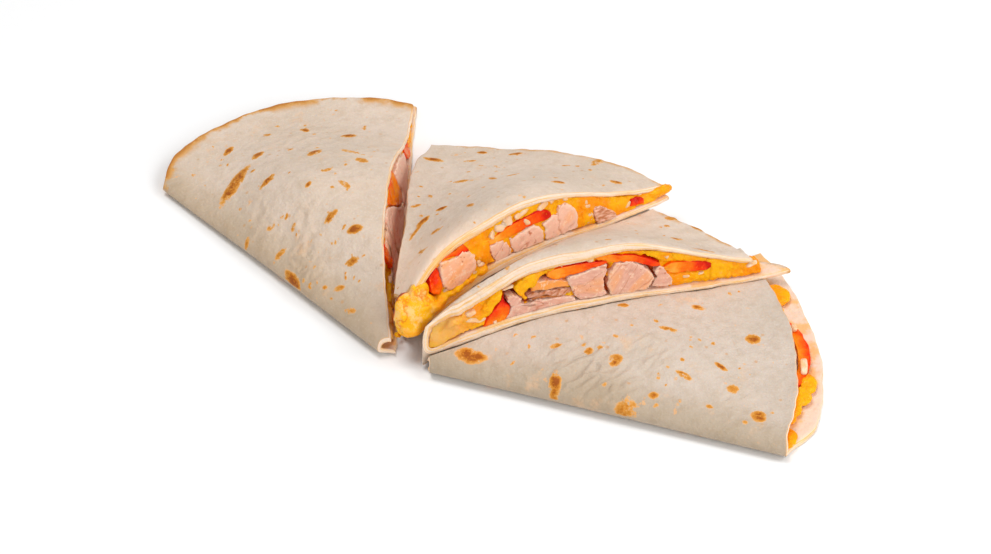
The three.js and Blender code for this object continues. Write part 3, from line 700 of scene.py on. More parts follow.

# ---- Wedge 4's tortilla: one folded sheet
# An end of the half-moon, with the folded edge in front. The sheet goes round the fold in one piece,
# and its lower half reaches out past the upper one at the rim, so the filling shows there.
# Its sheet is given painted shade all over, a little darker and greyer.
wedge_4 = wedge(
    point=(-24.5, -45.2), heading=-18.5, fold_at=0, from_fold=0, rim=(114.6, 116.4, 114.8), lip=8.2,
    start=4.6, full=13, at_rim=7, thinner=0.06, under=wedge_3, toasted_rim=0.35, greyed=1,
)
marks_4 = marks(40, 112, (50, 2.8, 0.5), [
    (17, 20, 10, 5.6, 161, 0.9), (44, 3.5, 8, 3.8, 99, 0.9), (43, 21, 4.5, 2, 12, 0.6),
    (53, 18, 3.2, 3, 0, 0.65), (61, 14.5, 5, 4, 50, 0.85), (67, 35, 4, 1.8, 164, 0.7),
    (90, 32, 5, 2.2, 160, 0.7), (78, 25, 6, 1.8, 162, 0.85), (104, 23, 5, 5, 10, 0.8),
    (82, 11.5, 6, 2, 152, 0.9), (93, 15, 5.5, 1.8, 143, 0.85), (97, 10, 4, 4, 10, 0.5),
    (106, 5, 5, 5, 153, 0.85), (74, 5, 3.4, 3, 13, 0.6), (67, 0.5, 8, 6, 18, 0.55),
    (30, 12, 3, 1.2, 50, 0.4),
], [(55, 9, 34, 26, 150, 1.0), (72, 16, 20, 16, 120, 0.6), (98, 8, 26, 16, 100, 0.4)])


def from_side(side, share):
    """u at a share of the way across, counted from a wedge's first side (0) or its last (1)."""
    return share if side == 0 else 1 - share


def across_from_fold(w, r, s, depth, past):
    """u at a share s of the way from the fold to `past` beyond the cut, and `depth` or more from the fold."""
    start = np.arcsin(np.minimum(depth, 0.8 * r * math.sin(SPAN)) / r) / SPAN
    return from_side(w.fold_at, lerp(start, 1 + share_of(past, r), s**TURN_STEPS))


def folded_sheet(w, seed):
    def lay(v, c, depth, past):
        turned = 2 * c - 1
        top = turned >= 0
        near_fold = (1 - ease(np.abs(turned) / 0.35)) ** 2
        edge = from_side(w.fold_at, np.abs(turned) ** TURN_STEPS)
        rim = np.where(top, rim_top(w, edge), rim_bottom(w, edge))
        wander = ragged(edge * 85, seed + 2 * top, 0.5) * (1 - near_fold)
        rim = lerp(rim, rim_bottom(w, w.fold_at), near_fold) + wander
        r = lerp(w.start - past, rim + past, v)
        reach = past + ragged(r, seed + 5 * top, 0.3) * np.abs(turned) ** 3
        u = across_from_fold(w, r, np.abs(turned), depth, reach)
        return skin(w, r, u, top, depth), r, u, top.astype(float), rim
    return lay


ROUND_FOLD = closer(0.33, 0.67, 40, 60, 90)
piece = sheet_mesh("folded_tortilla_4", wedge_4, folded_sheet(wedge_4, 2.6), ROWS, ROUND_FOLD, marks_4)
finish_sheet(piece, 4, "tortilla_4")

# ---- Wedge 1's tortilla: one folded sheet
# The other end of the half-moon, with the fold in front on the left and its rim pressed shut. It is
# the most toasted of the four.
wedge_1 = wedge(
    point=(-33.4, -40.6), heading=88.3, fold_at=1, from_fold=135, rim=(123.9, 129.6, 115.6), lip=2.5,
    start=4.6, full=22, at_rim=5, lean=15, push=2.1, toasted_rim=1.15, rim_band=3.4, hollows=((23, 3.5, 3),),
)
marks_1 = marks(10, 122, (70, 2.6, 0.55), [
    (112, 31.5, 6, 2.8, 128, 0.85), (101, 28, 6, 3.6, 124, 0.8), (88, 17.5, 6, 4, 120, 1.0),
    (111, 17.5, 4.5, 2, 33, 0.8), (102, 10, 6, 2.8, 82, 0.85), (77, 7, 6, 3.4, 50, 0.5),
    (73, 16, 4, 2, 104, 0.7), (67, 23, 3.4, 1.8, 120, 0.6), (63, 12.5, 6, 2.4, 33, 0.6),
    (81, 31, 7, 2.6, 101, 0.9), (92, 36, 19, 5, 118, 0.9), (51, 20.5, 6, 2.8, 106, 0.9),
    (42, 12.5, 6, 3, 79, 0.9), (65, 37.5, 5, 2.8, 95, 0.45), (58, 33, 3, 1.8, 120, 0.7),
    (55, 41.5, 6, 2.2, 85, 0.6), (33, 18.5, 6, 2.4, 73, 0.85), (29, 33, 5, 2.4, 59, 0.55),
    (20, 37, 4.5, 2.4, 33, 0.5), (45, 44.6, 9, 3, 171, 0.9), (69, 44, 4, 2.2, 120, 0.45),
    (85, 10, 10, 3, 50, 0.32), (114, 24, 4, 2, 60, 0.55), (96, 22, 3, 1.6, 100, 0.6),
], [(46, 36, 40, 14, 150, 0.7), (70, 38, 30, 12, 150, 0.4), (110, 20, 40, 26, 60, 0.4)])
piece = sheet_mesh("folded_tortilla_1", wedge_1, folded_sheet(wedge_1, 0.9), ROWS, ROUND_FOLD, marks_1)
finish_sheet(piece, 1, "tortilla_1")

# ---- The melted cheese
# Grated yellow cheese, melted between the sheets into one soft mass a wedge. The knife left it flush
# with the cut in broad gold patches, and it stands back in the gaps between the other pieces.
WEDGES = {1: wedge_1, 2: wedge_2, 3: wedge_3, 4: wedge_4}
CLEARANCE = 0.12
CREASES = 80
EDGE_SHARPNESS = 24
VOXEL = 0.00042
BALL_RADIUS = 0.54


def in_filling(w, side, along, up, deep):
    """Points behind a cut side: `along` from the wedge's point, `up` from its underside and `deep` in from
    the cut. They give way to the two sheets."""
    u = from_side(side, share_of(deep, along))
    low, high = (sheet_depth(w, along, u, top) for top in (False, True))
    room = np.maximum(thickness(w, along, u) - low - high, 4 * CLEARANCE)
    share = np.clip((up - low) / room, CLEARANCE / room, 1 - CLEARANCE / room)
    return lerp(skin(w, along, u, False, low), skin(w, along, u, True, high), share[..., None])


def facing(w, side, turn):
    """A turn whose x runs out along a cut side, y up it and z out through it."""
    heading = math.radians(w.heading) + side * SPAN
    lean = math.radians(w.lean) * (1 - side)
    sign = 1 if side == 0 else -1
    outward = Vector((math.sin(heading), -math.cos(heading), 0)) * sign
    forward = Vector((math.cos(heading), math.sin(heading), 0))
    upward = Vector((0, 0, math.cos(lean))) - outward * (sign * math.sin(lean))
    stood = Matrix((forward, upward, forward.cross(upward))).transposed()
    return stood @ Matrix.Rotation(math.radians(turn), 3, "Z")


def at_rim(w, u, radius, up):
    """A turn and a place at the open rim."""
    heading = math.radians(w.heading) + u * SPAN
    place = np.array([w.point[0] + radius * math.cos(heading), w.point[1] + radius * math.sin(heading), up])
    return Matrix.Rotation(heading, 3, "Z"), place


def set_down(points, turn, place):
    return points @ np.array(turn).T + place


def join(parts):
    """Several (points, faces) made one."""
    points, faces, count = [], [], 0
    for some, theirs, *_ in parts:
        points.append(some)
        faces.extend((np.asarray(face) + count).tolist() for face in theirs)
        count += len(some)
    return np.concatenate(points), faces


def plain_form(cuts=None):
    """A ball about as wide as 1, or a cube from -1 to 1 with each side cut into small squares."""
    made = bmesh.new()
    if cuts is None:
        bmesh.ops.create_icosphere(made, subdivisions=3, radius=BALL_RADIUS)
    else:
        bmesh.ops.create_cube(made, size=2)
        bmesh.ops.subdivide_edges(made, edges=made.edges, cuts=cuts, use_grid_fill=True)
    points = np.array([v.co for v in made.verts])
    faces = [[v.index for v in f.verts] for f in made.faces]
    made.free()
    return points, faces


def ball(sizes, turn, place):
    points, faces = plain_form()
    return set_down(points * sizes, turn, place), faces


def rounded(a, b):
    """Rounds the edges where a and b both near 1."""
    level = np.maximum(np.abs(a), np.abs(b))
    reach = (np.abs(a) ** EDGE_SHARPNESS + np.abs(b) ** EDGE_SHARPNESS) ** (1 / EDGE_SHARPNESS)
    share = level / np.maximum(reach, 1e-9)
    return a * share, b * share


def knife_cut(w, side, outline, deep, front, jagged, draw):
    """A chunk whose face lies on the cut, by its outline's corners (along, up). Its back is `deep` behind it.
    Also gives the points before they are placed, and how near each is to the outline."""
    points, faces = plain_form(26)
    corners = np.array(outline, float)
    middle = (corners.max(0) + corners.min(0)) / 2
    steps = np.linspace(0, 1, 13)[:-1, None]
    edge = np.concatenate([lerp(a, b, steps) for a, b in zip(corners, np.roll(corners, -1, 0))]) - middle
    rough = np.convolve(draw.normal(size=len(edge) + 2), (0.3, 0.4, 0.3), "valid")
    reach = np.hypot(edge[:, 0], edge[:, 1]) + jagged * rough
    ray = np.arctan2(points[:, 1], points[:, 0])
    out, back = rounded(np.abs(points[:, :2]).max(1), points[:, 2])
    far = out * np.interp(ray, np.arctan2(edge[:, 1], edge[:, 0]), reach, period=2 * math.pi)
    along, up = middle[0] + far * np.cos(ray), middle[1] + far * np.sin(ray)
    flat = np.stack([along, up, front + (back + 1) / 2 * deep], 1)
    return in_filling(w, side, *flat.T), faces, flat, out


def sliced(w, side, stations, deep, front):
    """A strip along the cut, from (along, up, height) stations, with the same values as a chunk."""
    points, faces = plain_form(20)
    x, back = rounded(points[:, 0], points[:, 2])
    y, back = rounded(points[:, 1], back)
    along_at, up_at, height_at = np.array(stations, float).T
    along = lerp(along_at[0], along_at[-1], (x + 1) / 2)
    up = np.interp(along, along_at, up_at) + y * np.interp(along, along_at, height_at) / 2
    flat = np.stack([along, up, front + (back + 1) / 2 * deep], 1)
    return in_filling(w, side, *flat.T), faces, flat, y


def cheese_core(w):
    """The closed body between the sheets, standing back from the cuts."""
    rows, columns = 60, 36
    v, s = np.meshgrid(np.linspace(0, 1, rows + 1), np.linspace(0, 1, columns + 1), indexing="ij")
    parts = []
    for top in (True, False):
        if w.fold_at is None:
            edge, start = s, start_of(w, top, s) + (SHEET if w.wraps_point else 0.3)
        else:
            edge, start = from_side(w.fold_at, s**TURN_STEPS), w.start + 4
        r = lerp(start, np.minimum(rim_top(w, edge), rim_bottom(w, edge)) - 1.5, v)
        hollows = [deep * np.exp(-(((r - along) / wide) ** 2)) for along, wide, deep in w.hollows]
        back = w.stands_back + sum(hollows)
        if w.fold_at is None:
            u = s - (2 * s - 1) * share_of(np.where(s < 0.5, back, 1.5), r)
        else:
            u = across_from_fold(w, r, s, SHEET + 0.2, -back)
        parts.append(skin(w, r, u, top, sheet_depth(w, r, u, top) + 0.1).reshape(-1, 3))
    layer = len(parts[0])
    ring = border(rows, columns)
    wall = np.stack([ring, np.roll(ring, -1), np.roll(ring, -1) + layer, ring + layer], axis=1)
    faces = [grid_faces(rows, columns), grid_faces(rows, columns, layer)[:, ::-1], wall[:, ::-1]]
    return np.concatenate(parts), np.concatenate(faces).tolist()


# Flat gold leaves on each wedge's first side, by their outlines (along, up).
CHEESE_LEAVES = {
    1: [
        [(98, 9), (104, 9), (112, 7.6), (119, 5), (119, 2.2), (106, 2.2), (102, 3), (101.6, 7)],
        [(8, 3), (9, 12), (15, 16), (19, 14), (18, 6), (14, 3)],
    ],
    2: [
        [(36.4, 7.6), (36.6, 9.6), (38.2, 12), (39.4, 13.2), (41.8, 12.2), (42, 7.4), (42.8, 3.8), (39.5, 5)],
        [(20.4, 2.4), (21.4, 5.8), (25, 5), (29, 3.2), (27, 1.9)],
        [(78, 3.4), (78.6, 9.4), (83, 8.6), (82.8, 3)],
    ],
    3: [
        [(20, 9.4), (21, 10.8), (23.2, 13), (27.2, 13.4), (26.4, 10.4), (24, 8.4), (22, 7.4)],
        [(30.3, 13.8), (32.6, 15.6), (36, 17), (38.4, 14.4), (37.2, 12), (35, 11.2), (33.2, 9.4),
         (31.6, 11.6)],
    ],
    4: [],
}
# Melted bands along each wedge's first and last side, by stations (along, up, height).
CHEESE_BANDS = {
    1: ([
        [(22, 4.6, 4), (28, 5.4, 6), (33, 4.4, 4)],
        [(50, 19.4, 1.4), (58, 18.6, 1.6), (66, 17.6, 1.4)],
    ], []),
    2: ([
        [(35, 16.8, 2), (40, 16.6, 2.6), (45, 16.4, 2.4), (52, 16.8, 1.4), (60, 16.6, 1.4), (68, 15.9, 1.8)],
        [(66, 15.4, 2), (72, 14.8, 2.2), (76, 14.4, 3), (82, 13.6, 3.4)],
        [(75.6, 11.8, 3.4), (80, 11.2, 4), (86, 10, 3.4), (90, 7.6, 5), (95, 5.8, 6), (100, 4.9, 6),
         (110, 4, 5)],
    ], [[(20, 9, 12), (28, 9, 12), (32, 8, 7)], [(44, 8, 9), (60, 8, 5), (72, 7, 6), (100, 4, 4)]]),
    3: ([
        [(4, 4.4, 4), (8, 5.2, 6.4), (13, 6.4, 8.4), (18, 6.4, 8), (21, 5, 5)],
        [(36, 16, 3), (40, 16.4, 3.4), (46, 17.6, 2), (52, 18, 1.8)],
        [(60, 19, 1), (66, 18.4, 2), (72, 17.2, 3), (78, 14.6, 4), (84, 13, 3.4), (92, 11.4, 2),
         (97, 9.6, 2)],
        [(79, 5, 4), (86, 5, 3.4), (92, 5, 3.4), (96, 6, 5), (104, 5.4, 6), (113, 4, 4)],
    ], [[(12, 6, 7), (26, 7, 8), (31, 6, 5)], [(40, 7, 5), (60, 6, 4), (73, 5, 5), (96, 4, 3)]]),
    4: ([], [[(12, 5, 5), (30, 6, 7), (46, 6, 5), (60, 5, 5), (74, 5, 4), (104, 4, 3)]]),
}
# Blobs and drips on each wedge's first side: along, up, deep, (long, high, thick), turn.
CHEESE_DROPS = {
    1: [(15, 7, 1, (9, 7, 4), 0)],
    2: [
        (13, 5.4, 1.7, (11, 14, 8), -20), (11.4, 2.4, 0.9, (7.4, 7, 7.6), 0),
        (16.4, 6.4, 0.4, (8, 7, 5), 0), (16.4, 11, 0.9, (7, 6, 4.4), 25), (12.4, 11, 2, (8, 8, 6), 20),
        (16, 2.6, -0.1, (7, 4, 5), 0), (10.4, 6.8, 0, (4.4, 3.6, 3.4), 30),
        (14.2, 8.4, -0.7, (6, 3, 3), -35), (12, 4, -0.9, (5, 2.8, 3), 20),
        (15.4, 5.4, -0.8, (5, 2.6, 3), -25), (12.4, 10.6, -0.2, (4, 3, 3), 10),
        (18.4, 4.8, -0.2, (4, 4, 3.4), 0), (20.5, 2.6, -0.5, (8, 3.4, 3.4), 8),
        (27, 2.8, -0.4, (7, 2.2, 2.6), 12), (33, 2.6, -0.3, (5, 1.6, 2), 8),
        (37.9, 3.4, 0.2, (4, 2.6, 3), 0), (111.6, 4.2, 1.2, (11, 3.6, 5), -12),
        (23.4, 3.4, 0, (4, 2.4, 3), 20),
    ],
    3: [(34, 9, 0.2, (2, 1.6, 1.6), 0), (12, 9, 0.5, (7, 3, 3), 25)],
    4: [],
}
# Lumps in wedge 4's open rim: u, radius, up, (outwards, along, high).
RIM_LUMPS = [
    (0.77, 118, 3.2, (8, 9, 2.6)), (0.69, 115, 3.4, (6, 7, 2.8)), (0.335, 120, 3.2, (5.4, 8, 2.6)),
    (0.27, 117, 3.4, (8, 8, 2.8)), (0.21, 115.4, 3.2, (6, 6, 2.4)), (0.17, 114.4, 3, (5, 5, 2)),
    (0.08, 115, 2.7, (7, 8, 1.4)), (0.05, 113.6, 2.6, (5, 5, 1.4)),
]
crowd = np.random.default_rng(5)


def small_lumps(w):
    """Knobbly melted bits all along both cuts."""
    found = []
    for side in (0, 1):
        if w.fold_at == side:
            continue
        for along in np.arange(12, w.rim[0 if side == 0 else 2] - 4, 2):
            up = crowd.uniform(SHEET + 1, max(float(thickness(w, along, side)) - SHEET - 1, SHEET + 1.2))
            if any(abs(along - at) < wide for at, wide, _ in w.hollows):
                continue
            middle = in_filling(w, side, along, up, crowd.uniform(0.7, 1.5))
            sizes = (crowd.uniform(1.5, 4), crowd.uniform(1.2, 2.2), crowd.uniform(1, 2))
            found.append(ball(sizes, facing(w, side, crowd.uniform(-30, 30)), middle))
    return found


def behind_cut(w, points):
    """How far each point lies behind the nearest cut side or the upper sheet's rim."""
    dx, dy = points[:, 0] - w.point[0], points[:, 1] - w.point[1]
    r = np.hypot(dx, dy)
    u = np.clip((np.arctan2(dy, dx) - math.radians(w.heading)) / SPAN, 0, 1)
    nearest = rim_top(w, u) - r - 1.5
    if w.fold_at != 0:
        heading, lean = math.radians(w.heading), math.radians(w.lean)
        inward = dy * math.cos(heading) - dx * math.sin(heading)
        over = (points[:, 2] - underside(w, r, 0)) * math.tan(lean)
        nearest = np.minimum(nearest, inward + side_bow(w, r, 0) - over)
    if w.fold_at != 1:
        heading = math.radians(w.heading) + SPAN
        height = np.clip(points[:, 2] / thickness(w, r, 1.0), 0, 1)
        inward = dx * math.sin(heading) - dy * math.cos(heading)
        nearest = np.minimum(nearest, inward + last_side_swell(w, r, 1.0, height))
    return nearest


def melted_cheese():
    """Glossy golden cheese, with painted highlights on its small bumps and on pale crumbly patches, and
    painted red-brown shade in the gaps behind the cuts and along its creases.
    """
    material, tree, place = new_material("melted_cheese")
    broad = noise(place, 110, 3)
    fine = noise(place, 520, 3, 0.6)
    crust = own(tree, "crumbly")
    # Pale crumbly patches on wedge 2's point: partly crumbs, partly painted highlight.
    crumbly = crust**6 * noise(place, 240, 6, 0.75).step(0.46, 0.58)
    # Painted shade: darker orange along the sunken creases.
    crease_shade = abs(noise(place, CREASES, 4, 0.6) - 0.5).step(0.0, 0.024, 1, 0) * (crust * 0.5 + 0.3)
    # Painted shade: red-brown, darker the deeper the cheese lies behind the cuts, in the recesses between the
    # pieces.
    gap = (broad - 0.5) * 1.4 + own(tree, "hollow")
    recess_shade = ramp(gap * 0.25, [
        (0.36, (0.88, 0.24, 0.004)), (0.5, (0.62, 0.09, 0.002)), (0.7, (0.25, 0.02, 0.002)),
    ])
    colour = blend(broad.step(0.38, 0.62), (0.98, 0.45, 0.003), (0.97, 0.30, 0.001))
    colour = layered(colour, [
        # Painted highlight: paler gold on the small bumps.
        (fine.step(0.6, 0.78, 0, 0.5), (0.95, 0.60, 0.16)),
        (own(tree, "dull") * broad.step(0.35, 0.6, 0.25, 0.9), (0.80, 0.45, 0.13)),
        (crust * 0.7, (0.98, 0.50, 0.008)),
        # Pale crumbly patches, partly painted highlight.
        (crumbly * 0.6, (0.96, 0.64, 0.30)),
        (crease_shade, (0.84, 0.24, 0.006)),
        (gap.step(1.3, 1.9), recess_shade),
    ])
    return close_material(material, colour, [(fine, 0.0004)], roughness=0.34, shine=0.12, subsurface=0.3,
                          radius=(0.003, 0.0012, 0.0003), coat=0.06)


def melt_tree():
    """Melted unevenness: soft swellings, with finer ones on them and creases between them."""
    sizes = ("Swelling", "Swelling Size", "Ripple", "Ripple Size", "Crease")
    tree, given, place = new_shape_tree("melted", *sizes)
    swelling = (noise(place, 1.0 / given["Swelling Size"], 1.0) - 0.5) * given["Swelling"]
    ripple = (noise(place, 1.0 / given["Ripple Size"], 1.0) - 0.5) * given["Ripple"]
    sunk = abs(noise(place, CREASES, 4, 0.6) - 0.5).step(0.0, 0.05, 1, 0) * given["Crease"]
    return close_shape_tree(moved_out(given["Geometry"], swelling + ripple - sunk), given)


cheese_finish = melted_cheese()
melted = melt_tree()
for key, w in WEDGES.items():
    parts = [cheese_core(w)]
    parts += [knife_cut(w, 0, outline, 5, -0.25, 0.15, crowd) for outline in CHEESE_LEAVES[key]]
    for side, bands in enumerate(CHEESE_BANDS[key]):
        parts += [sliced(w, side, stations, 5, 0.15) for stations in bands]
    for along, up, deep, size, turn in CHEESE_DROPS[key]:
        parts.append(ball(size, facing(w, 0, turn), in_filling(w, 0, along, up, deep)))
    if key == 4:
        parts += [ball(size, *at_rim(w, u, radius, up)) for u, radius, up, size in RIM_LUMPS]
    parts += small_lumps(w)
    piece = add_mesh(f"melted_cheese_{key}", *join(parts), weld=False)
    one_mass = piece.modifiers.new("one_mass", "REMESH")
    one_mass.mode = "VOXEL"
    one_mass.voxel_size = VOXEL
    soft = piece.modifiers.new("soft", "SMOOTH")
    soft.factor = 0.5
    soft.iterations = 2
    make_uneven(piece, melted, swelling=0.0012, swelling_size=0.0045, ripple=0.0004, ripple_size=0.0015,
                crease=0.0004, material=cheese_finish)
    points = np.empty(len(piece.data.vertices) * 3)
    piece.data.vertices.foreach_get("co", points)
    points = (points.reshape(-1, 3) - FAN_MIDDLE) / MM
    r = np.hypot(points[:, 0] - w.point[0], points[:, 1] - w.point[1])
    values = {
        "hollow": behind_cut(w, points), "dull": (1 - ease((r - 9) / 12)) * (key in (1, 3)),
        "crumbly": (1 - ease((r - 17) / 5)) * (0.45 + 0.55 * ease((points[:, 2] - 9) / 7)) * (key == 2),
    }
    for name, data in values.items():
        piece.data.attributes.new(name, "FLOAT", "POINT").data.foreach_set("value", data.astype(np.float32))
    stand_for(piece, "cheese", f"cheese_{key}")

# ---- The chicken
# Cooked chicken breast in chunks of about a centimetre, sliced flat where the knife went through. Each
# shows its grain, with pits and cracks in it, and the ones that were fried show a browned side.
# Each wedge's chunks: outline (along, up), browned, which is below 0 where stained orange, and front.
CHICKEN = {
    1: [
        ([(75.6, 14.6), (82, 13), (88, 11.2), (94, 8), (94, 2.4), (84, 2.2), (72, 2.2), (76, 6)], 0, -0.2),
        ([(47.4, 19), (53, 18.6), (57, 16), (61, 12.4), (66, 8), (70, 4.8), (69, 2.4), (50, 2.4),
          (47.4, 8)], 0.2, -0.2),
        ([(38.8, 10), (41, 16), (46.8, 17.4), (46.8, 4), (40, 2.4), (32.8, 2.8), (30.6, 7),
          (35.6, 8.2)], 0.35, 0),
    ],
    2: [
        ([(24.3, 15.4), (27, 14.2), (30, 13.4), (32.3, 13.6), (34.8, 12.3), (36, 10), (36.4, 6.2),
          (33.8, 4.6), (30.2, 2.8), (25.4, 5.2), (24, 7), (23.9, 10)], -0.35, -0.3),
        ([(42, 9.2), (44.5, 10), (47, 9.1), (49.3, 5.6), (48.4, 2.6), (43.4, 2.6), (42.4, 6.4)], 0.1, 0),
        ([(49.6, 8.4), (53, 8.8), (57.7, 9.4), (61, 8.4), (62.3, 6), (61.6, 2.4), (50.5, 2.4),
          (49.7, 5)], 0.1, -0.15),
        ([(62.6, 8.4), (64, 8.8), (66.5, 9.8), (69, 10.2), (69.6, 12.8), (72.5, 12.8), (75, 11),
          (76.6, 7.6), (75.6, 3), (70, 2.4), (62.5, 2.4), (62.9, 5.6)], 0, -0.2),
        ([(82.9, 4.6), (83, 7), (85.8, 7.9), (88.2, 6.2), (91.6, 3.8), (91.8, 2.4), (88, 2),
          (84, 2)], 0.62, -0.4),
    ],
    3: [
        ([(28.4, 11), (30.6, 11), (33, 8.6), (32.8, 6.4), (29.6, 6.6)], 0.3, 0.1),
        ([(27.4, 3), (29.6, 7.2), (33, 6.8), (35.7, 6), (37.5, 7), (41, 5.8), (45, 5.6), (49.6, 4.6),
          (50.6, 2.4), (40, 2.2), (30, 2.2)], 0.12, -0.1),
        ([(47.6, 11.8), (51, 12.4), (54.8, 13.2), (58, 13.9), (61, 14.2), (60.4, 11), (59.6, 9),
          (59.6, 6.4), (60.4, 3.2), (57, 2.4), (52, 2.4), (49.6, 5.4), (48.2, 9.4)], 0.05, -0.15),
        ([(63.6, 13.9), (67.8, 13.9), (70.8, 12.9), (74.6, 9.7), (76.4, 6.8), (74.4, 3), (65, 2.4),
          (61.6, 2.4), (60.9, 6.2), (61.2, 10)], 0.1, -0.3),
        ([(76.6, 8.8), (78.2, 10.9), (79.8, 9), (82.6, 5.4), (82.4, 3), (78, 2.6), (75.2, 3.2),
          (77.2, 6.6)], 0, 0.1),
    ],
    4: [],
}
# Slivers in wedge 3: stations (along, up, height), browned.
SLIVERS = [
    ([(36.4, 11, 1.6), (38, 11.6, 2.8), (41, 11, 3.4), (44, 10.8, 2.8), (48.4, 9.6, 1.6)], -1),
    ([(34.8, 8.6, 0.8), (37, 8.8, 1.6), (39, 8.2, 0.8), (41, 8.4, 1.4), (43, 7.4, 2.2), (46, 7, 2.4),
      (49, 7, 1.2)], 0.62),
    ([(36, 7.6, 0.6), (39, 7.4, 1), (41, 6.9, 0.6), (44, 6.2, 0.9), (46, 6, 0.5)], 0.7),
]
# Chunks on the last sides, which are turned away: along, up, (long, high), browned.
PLAIN_CHICKEN = {
    1: [],
    2: [(38, 8, (12, 9), 0), (66, 7, (13, 7), 0.3)],
    3: [(34, 5.8, (11, 5.4), 0.2), (66, 5.4, (12, 5), 0)],
    4: [(38, 5.2, (12, 4.6), 0), (66, 4.8, (11, 4), 0.3)],
}
CHICKEN_NODES = {1: "abc", 2: "abcdefg", 3: "abcdefg", 4: "ab"}
carver = np.random.default_rng(9)


def rough_outline(draw, along, up, long, high):
    """Eight uneven corners round a place."""
    corners = []
    for step in range(8):
        angle = math.radians(45 * step + draw.uniform(8, 37))
        square = 1 / max(abs(math.cos(angle)), abs(math.sin(angle)))
        reach = lerp(1, square, 0.6) * draw.uniform(0.85, 1)
        corners.append((along + long / 2 * reach * math.cos(angle), up + high / 2 * reach * math.sin(angle)))
    return corners


def grain_of(flat, draw):
    """The place of each point in the meat's grain, which runs another way in each chunk."""
    lie = draw.uniform(-0.5, 0.9)
    with_grain = flat[:, 0] * math.cos(lie) + flat[:, 1] * math.sin(lie)
    across_grain = flat[:, 1] * math.cos(lie) - flat[:, 0] * math.sin(lie)
    return np.stack([with_grain * 0.3, across_grain, flat[:, 2]], 1) + draw.uniform(0, 90, 3)


def torn_tree():
    """Cut meat: fine ridges along the grain, with deeper pits and cracks between them."""
    tree, given, _ = new_shape_tree("torn_meat", "Ridge", "Pit", "Crack")
    fibres = stored(tree, "fibres", "FLOAT_VECTOR")
    ridge = noise(fibres, 0.9, 3.0, 0.6) - 0.5
    pit = noise(fibres, 0.5, 1.0).step(0.64, 0.74)
    crack = abs(noise(fibres, 0.12, 2.0) - 0.5).step(0.0, 0.014, 1, 0)
    depth = ridge * given["Ridge"] + pit * given["Pit"] + crack * given["Crack"]
    return close_shape_tree(moved_out(given["Geometry"], depth), given)


def cooked_chicken():
    """Pinkish meat with a pale crumbly edge, stained orange in places, brown in flecks and where fried, and
    with painted shade along its cracks.
    """
    material, tree, place = new_material("cooked_chicken")
    fibres = own(tree, "fibres", "Vector")
    strands = noise(fibres, 1.1, 4, 0.6)
    speckle = noise(place, 900, 3, 0.65)
    browned = own(tree, "browned")
    colour = blend(strands.step(0.3, 0.7), (0.72, 0.36, 0.26), (0.81, 0.45, 0.33))
    colour = layered(colour, [
        # Painted light: paler meat in wedges 1 and 2.
        (own(tree, "pale"), (0.94, 0.57, 0.41)),
        (noise(fibres, 0.17, 2).step(0.54, 0.68, 0, 0.5), (0.93, 0.38, 0.10)),
        (browned.maths("MULTIPLY", -0.9, clamp=True), (0.93, 0.33, 0.04)),
        (speckle.step(0.54, 0.74, 0, 0.5), (0.70, 0.34, 0.22)),
        (own(tree, "edge") * speckle.step(0.35, 0.55) * 0.6, (0.96, 0.76, 0.60)),
        # Painted shade: darker along the sunken cracks.
        (abs(noise(fibres, 0.12, 2.0) - 0.5).step(0.0, 0.012, 0.6, 0), (0.60, 0.20, 0.09)),
        (noise(place, 620, 4, 0.7).step(0.55, 0.64, 0, 0.55), (0.96, 0.70, 0.50)),
        (noise(place, 430, 3, 0.65).step(0.63, 0.71) * 0.8, (0.50, 0.11, 0.02)),
        ((strands * 0.8 + (browned - 0.75)).step(0.12, 0.42), (0.46, 0.13, 0.025)),
    ])
    relief = [(strands, 0.0002), (speckle, 0.00015)]
    return close_material(material, colour, relief, roughness=0.48, shine=0.2, subsurface=0.15,
                          radius=(0.002, 0.0008, 0.0005), coat=0.02)


chicken_finish = cooked_chicken()
torn_meat = torn_tree()
for key, w in WEDGES.items():
    cuts = [(0, *chunk) for chunk in CHICKEN[key]]
    for along, up, size, brown in PLAIN_CHICKEN[key]:
        cuts.append((1, rough_outline(carver, along, up, *size), brown, -0.2))
    parts = [(*knife_cut(w, side, edge, 8, front, 0.3, carver), brown) for side, edge, brown, front in cuts]
    if key == 3:
        parts += [(*sliced(w, 0, stations, 6, 0.3), brown) for stations, brown in SLIVERS]
    points, faces = join(parts)
    piece = add_mesh(f"chicken_in_{key}", points, faces, {
        "fibres": np.concatenate([grain_of(flat, carver) for _, _, flat, _, _ in parts]),
        "edge": np.concatenate([np.abs(near) ** 10 for _, _, _, near, _ in parts]),
        "browned": np.concatenate([np.full(len(some), brown) for some, _, _, _, brown in parts]),
        # How much painted light the meat gets: paler in wedges 1 and 2.
        "pale": np.full(len(points), 0.7 if key in (1, 2) else 0.0),
    })
    make_uneven(piece, torn_meat, ridge=0.0004, pit=-0.0005, crack=-0.0003, material=chicken_finish)
    stand_for(piece, "chicken", *[f"chicken_{key}{letter}" for letter in CHICKEN_NODES[key]])

